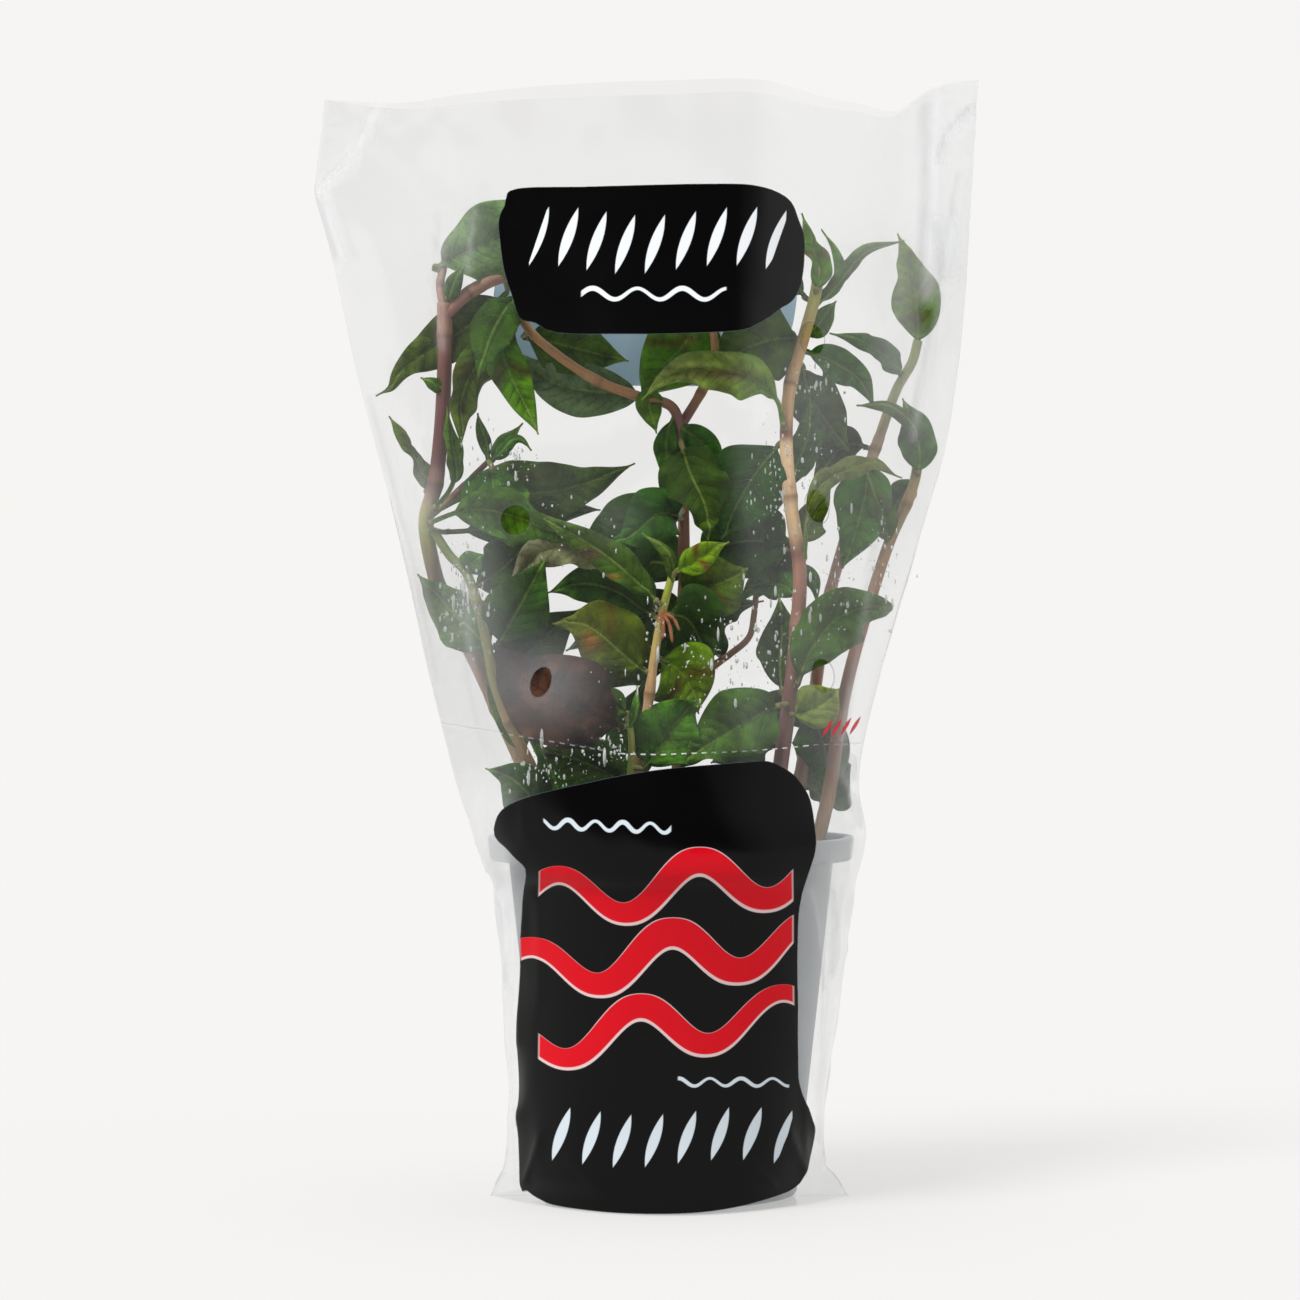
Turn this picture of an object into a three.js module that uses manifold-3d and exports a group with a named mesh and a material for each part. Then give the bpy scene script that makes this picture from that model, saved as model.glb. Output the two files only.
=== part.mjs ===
// A potted Vietnamese mint in its clear, tapered, open-topped sleeve.
// Millimetres, +Z up. The origin is on the pot's axis, on the surface that the sleeve stands on.
// The front, where the sleeve's print is, faces -Y.
import * as THREE from "three";
import { mergeVertices } from "three/addons/utils/BufferGeometryUtils.js";
import Module from "manifold-3d";

const wasm = await Module();
wasm.setup();

// Driving dimensions.
const GAP = 0.35; // clearance between neighbouring pieces
const POT = { foot: 36.4, shoulder: 47, rim: 53, height: 104.4, shoulderUp: 97.4, wall: 1.2 };
const DRAIN = { radius: 4, ring: 23, count: 5, sides: 6 };
const SOIL = { top: 91, lump: 1.6 };
const FILM = { wall: 0.7, weld: 1.4, mouth: 320, trimFrom: 292 };
const VENT = { radius: 4.5, length: 9, sides: 8 };
const LEAF = { thickness: 0.7, stalk: 1.5, tip: 0.9, margin: 1.3, step: 13.5, most: 5 };
const OUTLINE = { base: 0.8, tip: 1.35 }; // how blunt a blade is at its two ends
const SLIVER = 0.17; // corners that a cut leaves within this of a flat face are taken out
const ROUND_SIDES = 20; // of the sleeve, the pot and the soil
const STEM = { sides: 5, step: 15, everyJoint: 3 };
const EYE = { away: 1150, across: -6.1, up: 158.3 }; // where the front outlines were judged from

// The sleeve's sections from the bottom up. left and right are its two welded edges, deep is half its
// depth, flat goes from 0, a round section, to 1, two sheets that meet at sharp edges, and swept says
// how far the right-hand edge lies behind the left-hand one.
const SECTIONS = [
  { up: 0, left: -52.5, right: 51.5, deep: 41, flat: 0.95, swept: 0 },
  { up: 3, left: -50.5, right: 49, deep: 41.2, flat: 0.85, swept: 0 },
  { up: 9, left: -46.6, right: 43.9, deep: 41.3, flat: 0.25, swept: 0 },
  { up: 26, left: -46, right: 44, deep: 41.6, flat: 0, swept: 0 },
  { up: 60, left: -47.5, right: 48.2, deep: 45, flat: 0, swept: 0 },
  { up: 91, left: -50.6, right: 53.2, deep: 51, flat: 0, swept: 0 },
  { up: 96, left: -53.5, right: 54.7, deep: 54.3, flat: 0, swept: 0 },
  { up: 106, left: -57.4, right: 55.9, deep: 54.8, flat: 0, swept: 0 },
  { up: 118, left: -61.4, right: 54.2, deep: 53, flat: 0.1, swept: 1 },
  { up: 130, left: -64.4, right: 55.6, deep: 50.6, flat: 0.25, swept: 3 },
  { up: 158, left: -71.3, right: 62.9, deep: 44.5, flat: 0.5, swept: 9 },
  { up: 187, left: -78.3, right: 71.7, deep: 37.5, flat: 0.7, swept: 16 },
  { up: 216, left: -85.3, right: 80.5, deep: 30, flat: 0.9, swept: 22 },
  { up: 245, left: -92.2, right: 85.4, deep: 23, flat: 1, swept: 26 },
  { up: 274, left: -98.3, right: 87.6, deep: 18.5, flat: 1, swept: 26 },
  { up: 292, left: -102.4, right: 88.5, deep: 16.4, flat: 1, swept: 25 },
  { up: 320, left: -100, right: 90.5, deep: 14.2, flat: 1, swept: 21 },
];
const FOLD = { from: 16, over: 58 }; // across, where the right part of the sleeve turns back

// The mouth's edge: across and up.
const MOUTH_EDGE = [
  [-102, 318], [-78, 316], [-60, 318], [-38, 320], [0, 321.5], [26, 322], [42, 319],
  [56, 317.5], [66, 316.5], [77, 324], [92, 327],
];

// The vent holes: across and up on the front sheet.
const VENTS = [[-45, 196], [-37.5, 150], [41, 248], [42.5, 200], [44, 151]];

function blend(list, at, key, value) {
  // Smooth value of a list of rows at a place, by cubic steps between neighbouring rows.
  const last = list.length - 1;
  if (at <= key(list[0])) return value(list[0]);
  if (at >= key(list[last])) return value(list[last]);
  let i = 0;
  while (key(list[i + 1]) < at) i += 1;
  const slope = (a, b) => (value(list[b]) - value(list[a])) / (key(list[b]) - key(list[a]));
  const span = key(list[i + 1]) - key(list[i]);
  const t = (at - key(list[i])) / span;
  const before = i > 0 ? slope(i - 1, i + 1) : slope(i, i + 1);
  const after = i + 2 <= last ? slope(i, i + 2) : slope(i, i + 1);
  const t2 = t * t;
  const t3 = t2 * t;
  return value(list[i]) * (2 * t3 - 3 * t2 + 1) + before * span * (t3 - 2 * t2 + t)
    + value(list[i + 1]) * (3 * t2 - 2 * t3) + after * span * (t3 - t2);
}

function section(up) {
  // The sleeve's section at a height.
  const row = {};
  for (const name of ["left", "right", "deep", "flat", "swept"]) {
    row[name] = blend(SECTIONS, up, (r) => r.up, (r) => r[name]);
  }
  row.centre = (row.left + row.right) / 2;
  row.half = (row.right - row.left) / 2;
  return row;
}

function smooth(t) {
  const s = THREE.MathUtils.clamp(t, 0, 1);
  return s * s * (3 - 2 * s);
}

function middleDepth(row, across) {
  // Depth of the surface half-way between the front and back sheets.
  return row.swept * smooth((across - FOLD.from) / FOLD.over);
}

function roundOff(row, sine) {
  return sine * (1 - row.flat + row.flat * Math.abs(sine));
}

function halfDepth(row, across) {
  // From the middle surface to either sheet.
  const cosine = THREE.MathUtils.clamp((across - row.centre) / row.half, -1, 1);
  return row.deep * roundOff(row, Math.sqrt(1 - cosine * cosine));
}

function place(across, up, depth, margin = 1.6) {
  // A point given as it lines up from the front, across and up in the plane of the pot's axis, and
  // its depth behind the sleeve's middle surface. It is kept inside the film by the margin.
  const row = section(up);
  const room = Math.max(halfDepth(row, across) - margin, 0);
  const y = middleDepth(row, across) + THREE.MathUtils.clamp(depth, -room, room);
  const spread = (EYE.away + y) / EYE.away;
  return new THREE.Vector3(
    EYE.across + (across - EYE.across) * spread,
    y,
    EYE.up + (up - EYE.up) * spread,
  );
}

function keepInside(point, margin) {
  // A point of a blade is pressed back inside the film, as the real leaves are.
  const row = section(point.z);
  const edge = row.half - margin * 2;
  point.x = THREE.MathUtils.clamp(point.x, row.centre - edge, row.centre + edge);
  const room = Math.max(halfDepth(row, point.x) - margin, 0);
  const middle = middleDepth(row, point.x);
  point.y = THREE.MathUtils.clamp(point.y, middle - room, middle + room);
  return point;
}

function shell(vertices, faces) {
  // A geometry from a list of points and a list of triangles.
  const geometry = new THREE.BufferGeometry();
  const numbers = vertices.flatMap((v) => v.toArray());
  geometry.setAttribute("position", new THREE.Float32BufferAttribute(numbers, 3));
  geometry.setIndex(faces.flat());
  return geometry;
}

function solid(geometry) {
  // A solid for cutting and joining, from a closed geometry.
  const bare = geometry.clone();
  bare.deleteAttribute("normal");
  bare.deleteAttribute("uv");
  const merged = mergeVertices(bare, 1e-4);
  return new wasm.Manifold(new wasm.Mesh({
    numProp: 3,
    vertProperties: new Float32Array(merged.attributes.position.array),
    triVerts: new Uint32Array(merged.index.array),
  }));
}

function geometryOf(body) {
  const mesh = body.getMesh();
  const geometry = new THREE.BufferGeometry();
  geometry.setAttribute("position", new THREE.Float32BufferAttribute(Array.from(mesh.vertProperties), 3));
  geometry.setIndex(Array.from(mesh.triVerts));
  return geometry;
}

function largest(body) {
  // The biggest of the separate lumps that a cut leaves, without slivers.
  const lump = body.decompose().reduce((a, b) => (a.volume() >= b.volume() ? a : b));
  return lump.simplify(SLIVER);
}

function stack(rings, closedEnds = true) {
  // A closed skin over rings of points that all have the same count, first ring lowest.
  const count = rings[0].length;
  const vertices = rings.flat();
  const faces = [];
  for (let i = 0; i + 1 < rings.length; i += 1) {
    for (let j = 0; j < count; j += 1) {
      const a = i * count + j;
      const b = i * count + (j + 1) % count;
      faces.push([a, b, b + count], [a, b + count, a + count]);
    }
  }
  if (closedEnds) {
    for (const [ring, flip] of [[0, true], [rings.length - 1, false]]) {
      const centre = vertices.length;
      const sum = rings[ring].reduce((s, v) => s.add(v), new THREE.Vector3());
      vertices.push(sum.divideScalar(count));
      for (let j = 0; j < count; j += 1) {
        const a = ring * count + j;
        const b = ring * count + (j + 1) % count;
        faces.push(flip ? [centre, b, a] : [centre, a, b]);
      }
    }
  }
  return shell(vertices, faces);
}

// The sleeve.
function mouthHeight(across) {
  return blend(MOUTH_EDGE, across, (p) => p[0], (p) => p[1]);
}

function filmRing(up, inward) {
  // One section of the sleeve as a ring of points, inward of its outer skin.
  const row = section(up);
  const ring = [];
  for (let i = 0; i < ROUND_SIDES; i += 1) {
    const turn = (2 * Math.PI * i) / ROUND_SIDES;
    const weld = 1 + FILM.weld * row.flat; // the wall is thicker along the welded edges
    const x = row.centre + (row.half - inward * weld) * Math.cos(turn);
    const y = middleDepth(row, x) + (row.deep - inward) * roundOff(row, Math.sin(turn));
    const lift = smooth((up - FILM.trimFrom) / (FILM.mouth - FILM.trimFrom));
    ring.push(new THREE.Vector3(x, y, up + (mouthHeight(x) - FILM.mouth) * lift));
  }
  return ring;
}

function filmRings(inward, floor) {
  const heights = SECTIONS.map((row) => row.up).filter((up) => up > floor);
  return [floor, ...heights].map((up) => filmRing(up, inward));
}

function bag(inward, floor, overshoot) {
  // The solid inside one skin of the sleeve, which runs past the mouth by the overshoot.
  const rings = filmRings(inward, floor);
  if (overshoot > 0) {
    rings.push(rings[rings.length - 1].map((v) => v.clone().setZ(v.z + overshoot)));
  }
  return solid(stack(rings));
}

function frontSheet(across, up) {
  // The point of the front sheet and the direction that the sheet faces there.
  const at = (x) => middleDepth(section(up), x) - halfDepth(section(up), x);
  const step = 1;
  const slope = (at(across + step) - at(across - step)) / (2 * step);
  const point = new THREE.Vector3(across, at(across), up);
  return { point, facing: new THREE.Vector3(slope, -1, 0).normalize() };
}

function ventPunch([across, up]) {
  const { point, facing } = frontSheet(across, up);
  const punch = new THREE.CylinderGeometry(VENT.radius, VENT.radius, VENT.length, VENT.sides);
  punch.applyQuaternion(new THREE.Quaternion().setFromUnitVectors(new THREE.Vector3(0, 1, 0), facing));
  punch.translate(point.x, point.y, point.z);
  return solid(punch);
}

function sleeve() {
  const mouthOvershoot = 5;
  let film = bag(0, 0, 0).subtract(bag(FILM.wall, FILM.wall, mouthOvershoot));
  for (const vent of VENTS) {
    film = film.subtract(ventPunch(vent));
  }
  return largest(film);
}

// The pot and what fills it.
const potFloor = FILM.wall + GAP;

function potInside(up) {
  // Radius of the pot's tapered inner wall at a height.
  const slope = (POT.shoulder - POT.foot) / (POT.shoulderUp - potFloor);
  return POT.foot - POT.wall + slope * (up - potFloor);
}

function pot() {
  const lip = 1.3;
  const profile = [
    [0, potFloor], [POT.foot, potFloor],
    [POT.shoulder, POT.shoulderUp], [POT.rim - 0.6, POT.shoulderUp + 0.8], [POT.rim, POT.height],
    [POT.rim - 2.6, POT.height], [POT.rim - 3, POT.shoulderUp + lip + 0.8],
    [potInside(POT.shoulderUp + lip), POT.shoulderUp + lip],
    [potInside(potFloor + POT.wall), potFloor + POT.wall], [0, potFloor + POT.wall],
  ];
  const points = profile.map(([r, z]) => new THREE.Vector2(r, z));
  const cup = new THREE.LatheGeometry(points, ROUND_SIDES);
  cup.rotateX(Math.PI / 2);
  let body = solid(cup);
  for (let i = 0; i < DRAIN.count; i += 1) {
    const turn = (2 * Math.PI * i) / DRAIN.count;
    const drill = new THREE.CylinderGeometry(DRAIN.radius, DRAIN.radius, 4 * POT.wall, DRAIN.sides);
    drill.rotateX(Math.PI / 2);
    drill.translate(DRAIN.ring * Math.cos(turn), DRAIN.ring * Math.sin(turn), potFloor);
    body = body.subtract(solid(drill));
  }
  return body;
}

function soil() {
  const floor = potFloor + POT.wall + GAP;
  const rings = [];
  const wallHeights = [floor, SOIL.top - 1];
  for (const up of wallHeights) {
    rings.push({ radius: potInside(up) - GAP, up, lumps: 0 });
  }
  const mound = [[0.9, 1], [0.62, 2], [0.3, 2.4]]; // share of the radius, rise of the surface
  for (const [share, rise] of mound) {
    rings.push({ radius: potInside(SOIL.top) * share, up: SOIL.top + rise, lumps: SOIL.lump });
  }
  const points = rings.map(({ radius, up, lumps }) => {
    const ring = [];
    for (let i = 0; i < ROUND_SIDES; i += 1) {
      const turn = (2 * Math.PI * i) / ROUND_SIDES;
      const bump = lumps * (Math.sin(5 * turn + radius) * Math.cos(3 * turn - radius / 4));
      ring.push(new THREE.Vector3(radius * Math.cos(turn), radius * Math.sin(turn), up + bump));
    }
    return ring;
  });
  return solid(stack(points));
}

// Stems and leaves.
function curveThrough(path) {
  const points = path.map(([across, up, depth]) => place(across, up, depth));
  return new THREE.CatmullRomCurve3(points, false, "centripetal");
}

function stemBody({ path, thick, thin, swell = 1 }, grow = 0) {
  // A round stem along a path that narrows from thick to thin, in radii, with a swollen joint at
  // every point of its path.
  const curve = curveThrough(path);
  const steps = Math.max(3, Math.round(curve.getLength() / STEM.step));
  const frames = curve.computeFrenetFrames(steps, false);
  const rings = [];
  for (let i = 0; i <= steps; i += 1) {
    const along = i / steps;
    const centre = curve.getPointAt(along);
    const radius = (thick + (thin - thick) * along) * (i % STEM.everyJoint === 1 ? swell : 1) + grow;
    const ring = [];
    for (let j = 0; j < STEM.sides; j += 1) {
      const turn = (2 * Math.PI * j) / STEM.sides;
      ring.push(centre.clone()
        .addScaledVector(frames.normals[i], radius * Math.cos(turn))
        .addScaledVector(frames.binormals[i], radius * Math.sin(turn)));
    }
    rings.push(ring);
  }
  return solid(stack(rings));
}

function bladeWidth(along, width, stalk) {
  // A lance-shaped outline: a thin stalk, the widest place two fifths up the blade, a drawn-out tip.
  if (along <= stalk) return LEAF.stalk;
  const t = (along - stalk) / (1 - stalk);
  const outline = (s) => s ** OUTLINE.base * (1 - s) ** OUTLINE.tip;
  const shape = outline(t) / outline(OUTLINE.base / (OUTLINE.base + OUTLINE.tip));
  const ends = LEAF.stalk + (LEAF.tip - LEAF.stalk) * t;
  return Math.max(width * shape, ends);
}

function leafBody({ path, width, roll = 0, fold = 15, stalk = 0.06 }, grow = 0) {
  // A blade along its midrib. It faces the front, turned by roll about the midrib, and its halves
  // rise by fold on either side.
  const curve = curveThrough(path);
  const steps = THREE.MathUtils.clamp(Math.round(curve.getLength() / LEAF.step), 3, LEAF.most);
  const lean = THREE.MathUtils.degToRad(fold);
  const lift = LEAF.thickness / 2 + grow;
  const rings = [];
  for (let i = 0; i <= steps; i += 1) {
    const along = i / steps;
    const rib = curve.getPointAt(along);
    const ahead = curve.getTangentAt(along);
    const across = new THREE.Vector3(0, -1, 0).cross(ahead).normalize();
    across.applyAxisAngle(ahead, THREE.MathUtils.degToRad(roll));
    const face = ahead.clone().cross(across).normalize();
    const half = bladeWidth(along, width, stalk) / 2;
    const row = [1, 0, -1].map((side) => {
      const point = rib.clone().addScaledVector(across, side * half * Math.cos(lean));
      point.addScaledVector(face, Math.abs(side) * half * Math.sin(lean));
      keepInside(point, LEAF.margin);
      point.addScaledVector(across, side * grow);
      if (i === 0) point.addScaledVector(ahead, -grow);
      if (i === steps) point.addScaledVector(ahead, grow);
      return point;
    });
    rings.push([
      ...row.map((v) => v.clone().addScaledVector(face, lift)),
      ...row.slice().reverse().map((v) => v.clone().addScaledVector(face, -lift)),
    ]);
  }
  return solid(bladeSkin(rings));
}

function bladeSkin(rings) {
  // A closed skin over rings of six: three points of the upper face, then three of the lower.
  const open = stack(rings, false);
  const faces = Array.from(open.index.array);
  const last = (rings.length - 1) * 6;
  for (const [a, b, c, d] of [[0, 1, 4, 5], [1, 2, 3, 4]]) {
    faces.push(a, d, c, a, c, b);
    faces.push(last + a, last + b, last + c, last + a, last + c, last + d);
  }
  open.setIndex(faces);
  return open;
}

// Each stem's path is its joints, from inside the soil up: across, up and depth, as place() takes
// them. Radii go from thick to thin. twigs are its side shoots, and leaflets the leaves that are too
// small for a piece of their own.
const STEMS = [
  {
    name: "stem_left", thick: 2.5, thin: 2.1, swell: 1.14,
    path: [[-30, 80, 6], [-33, 95, 7], [-40, 118, 8], [-50, 141, 9], [-58, 158, 8], [-66, 173, 6],
      [-69.5, 184.5, 2], [-71, 196, 0], [-68.5, 206, 0], [-66.8, 220, 0], [-65.8, 237, -1],
      [-65.6, 249, -1], [-65.8, 259, -1]],
    twigs: [
      { thick: 1.3, thin: 0.9, path: [[-65.8, 257, -1], [-67, 264, 0], [-65.4, 271, 0]] },
      {
        thick: 2, thin: 1.6,
        path: [[-65.6, 255, -1], [-59, 261.5, 0], [-49.6, 266.3, 1], [-38, 268, 2], [-27, 266, 2]],
      },
      {
        thick: 1.1, thin: 0.8,
        path: [[-70, 197, 0], [-63, 203, -1], [-57, 209, -2], [-52.5, 213.5, -3]],
      },
    ],
    leaflets: [
      { width: 4.5, roll: 20, path: [[-66, 233, -1], [-69.5, 235.6, -2], [-72.6, 237.4, -2]] },
      { width: 5, path: [[-65, 259, -1], [-63, 264, -2], [-59.5, 269.5, -2]] },
      { width: 4, roll: 20, path: [[-53, 213, -3], [-54, 219, -3], [-56.3, 227, -3]] },
      { width: 5.5, path: [[-52, 213, -3], [-48, 218.5, -4], [-42.8, 224, -4]] },
      { width: 4, path: [[-52.5, 213.5, -3], [-44.5, 219, -5], [-40.5, 216, -5]] },
    ],
  },
  {
    name: "stem_middle", thick: 2.3, thin: 1.6, swell: 1.15,
    path: [[-2, 80, 2], [1, 112, 3], [3.5, 142, 4], [3.8, 172, 4], [3.6, 200, 3], [3, 216, 0],
      [0.5, 228.5, -4], [-9, 231.7, -7], [-20.6, 236, -9], [-32.2, 243.3, -10], [-41, 251, -8],
      [-46, 260, -6]],
    twigs: [
      {
        thick: 1.5, thin: 1,
        path: [[2, 222, -2], [8.4, 232.4, 0], [12.5, 241, 3], [12, 252, 3], [9, 263, 2]],
      },
      {
        thick: 1.1, thin: 0.8,
        path: [[3.8, 146, 4], [10, 152, 7], [17, 157, 8], [22.6, 162, 8], [24, 168, 8], [25.4, 186, 8]],
      },
    ],
    leaflets: [
      { width: 8, path: [[-2, 230, -5], [-6, 230, -7], [-4.4, 221, -7]] },
      { width: 7, roll: 15, path: [[1, 226.2, -3.3], [-1, 217, -1], [-1.2, 205, 0]] },
      { width: 9, path: [[1.4, 223.8, -2.5], [8, 219.5, -3], [15.5, 209.5, -4]] },
      { width: 18, path: [[3.6, 152, 5], [8, 162, 14], [16, 170, 18], [27, 172, 18]] },
      { width: 20, path: [[3.8, 178, 4], [-4, 183, 12], [-13, 182, 15], [-24, 175, 16]] },
      { width: 20, path: [[3.7, 160, 4], [-6, 159, 14], [-14, 154, 18], [-22, 146, 19]] },
    ],
  },
  {
    name: "stem_right", thick: 2.4, thin: 1.7, swell: 1.12,
    path: [[29, 80, -4], [31, 118, -6], [34, 141, -8], [36.5, 164, -9], [37.3, 181, -10],
      [34.6, 202, -11], [33.4, 221, -10], [34.6, 235, -9], [38.5, 249, -7], [42, 262, -5], [42.8, 269, -4]],
    leaflets: [
      {
        width: 4.5, roll: 60,
        path: [[41.1, 258.8, -5.5], [47.8, 267, -2], [47, 274, -1], [43.6, 280.5, -1]],
      },
      {
        width: 6.5, roll: 35,
        path: [[40.6, 256.8, -5.8], [48.5, 269, -2], [55.5, 276.5, 0], [66, 277.6, 0]],
      },
      { width: 7, path: [[38.6, 249.4, -6.9], [44, 254, -5], [47.6, 260, -4]] },
      { width: 9.5, path: [[36.3, 188.9, -10.4], [41.4, 197, -8], [47, 206, -7]] },
      { width: 5, path: [[36.9, 184, -10.1], [40.5, 179, -7], [42, 171.5, -6]] },
      { width: 16, path: [[32.6, 130, -7], [28, 132, 4], [20, 130, 10], [11, 125, 14]] },
      { width: 14, path: [[36, 190.9, -10.5], [32.5, 186, 1], [28.5, 179, 5], [24.5, 173, 7]] },
      { width: 10, path: [[34.4, 205, -10.8], [37.6, 213, 0], [39.2, 223, 3], [38.5, 235, 4]] },
    ],
  },
  {
    name: "stem_right_rear", thick: 2.1, thin: 1.4, swell: 1.14,
    path: [[32, 80, 10], [37, 118, 10], [41.5, 145, 8], [45.5, 172, 6], [50, 189, 4], [53.6, 202, 3],
      [59, 216, 2], [65.5, 234, 1], [70, 242, 0], [71.6, 248, 0]],
    leaflets: [
      {
        width: 8, roll: 25,
        path: [[67.3, 237.3, 0.6], [60, 244.5, -2], [52.5, 248.4, -3], [46, 250.5, -2]],
      },
      { width: 14, path: [[39.8, 135, 8.9], [34.6, 139.4, 18], [27, 139.6, 24], [17, 136, 27]] },
      { width: 16, path: [[41.2, 143, 8.2], [43.5, 134, 3], [45, 126, 2], [44, 116, 1]] },
    ],
  },
  {
    name: "stem_right_outer", thick: 2.2, thin: 1.5, swell: 1.14,
    path: [[38.5, 80, -2], [41.8, 99, -2], [46, 118, -2], [48.6, 136, -2], [52, 152.5, -2],
      [57, 170, -1], [63.5, 190, 0], [68, 200, 0], [70.8, 208, 0], [72, 217, 0]],
    leaflets: [
      { width: 8, path: [[63.1, 188.8, -0.1], [60.6, 199, -3], [57.4, 209.5, -3]] },
      { width: 4.5, roll: 35, path: [[71.5, 216, 0], [68, 223, -2], [62, 228, -3], [52.8, 229, -3]] },
      { width: 16, path: [[44.9, 113, -2], [46, 119, 10], [42, 126, 18], [34, 131, 24]] },
      { width: 8, path: [[70.8, 207.9, 0], [68.4, 205, 4], [65.6, 201, 6], [63.5, 193, 7]] },
    ],
  },
  {
    name: "shoot_centre", thick: 1.8, thin: 1.1, swell: 1.2,
    path: [[-12.5, 80, -15], [-11, 106, -18], [-9.4, 125, -20], [-6.3, 145, -22], [-4.6, 158, -23],
      [-2.2, 170.5, -24], [0.2, 179.5, -25]],
    leaflets: [
      { width: 4, roll: 35, path: [[0.2, 178, -25], [-1.8, 186, -27], [-8.4, 192.4, -27]] },
    ],
  },
  {
    name: "shoot_short", thick: 1.4, thin: 0.9, swell: 1.2,
    path: [[-18, 80, -17], [-14, 108, -21], [-11.6, 124, -24], [-11.6, 134, -26], [-13, 140.5, -27]],
    leaflets: [
      { width: 3, roll: 20, path: [[-12, 136, -27], [-10.6, 141, -28], [-9.6, 148, -28]] },
      { width: 9, path: [[-13, 139.5, -27], [-18, 143, -29], [-26, 145.8, -29]] },
      { width: 15, path: [[-12.5, 118, -22.9], [-12.4, 128, -17], [-11, 138, -14], [-8.6, 149.5, -13]] },
    ],
  },
  {
    name: "stem_left_side", thick: 1.7, thin: 1.3, swell: 1.15,
    path: [[-30, 80, -8], [-34, 102, -12], [-39.4, 122, -15], [-46.7, 136.6, -16], [-51, 148, -16],
      [-53.6, 161, -15], [-56, 171, -12], [-59.6, 181, -8], [-64, 185.5, -5], [-66.6, 191.5, -3]],
    leaflets: [
      { width: 9, fold: 5, path: [[-59.6, 181, -8], [-57, 184, -9], [-54, 186, -9]] },
      { width: 16, path: [[-57.8, 176.1, -10], [-51, 180.6, -4], [-43.5, 186, -2], [-34, 192.5, -1]] },
      { width: 18, path: [[-50.6, 147, -16], [-44, 155, -8], [-36, 162, -6], [-27, 171, -5]] },
      { width: 12, path: [[-35.6, 108, -12.9], [-33, 117, -6], [-36, 126, -4], [-42, 134.5, -4]] },
    ],
  },
];

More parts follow.
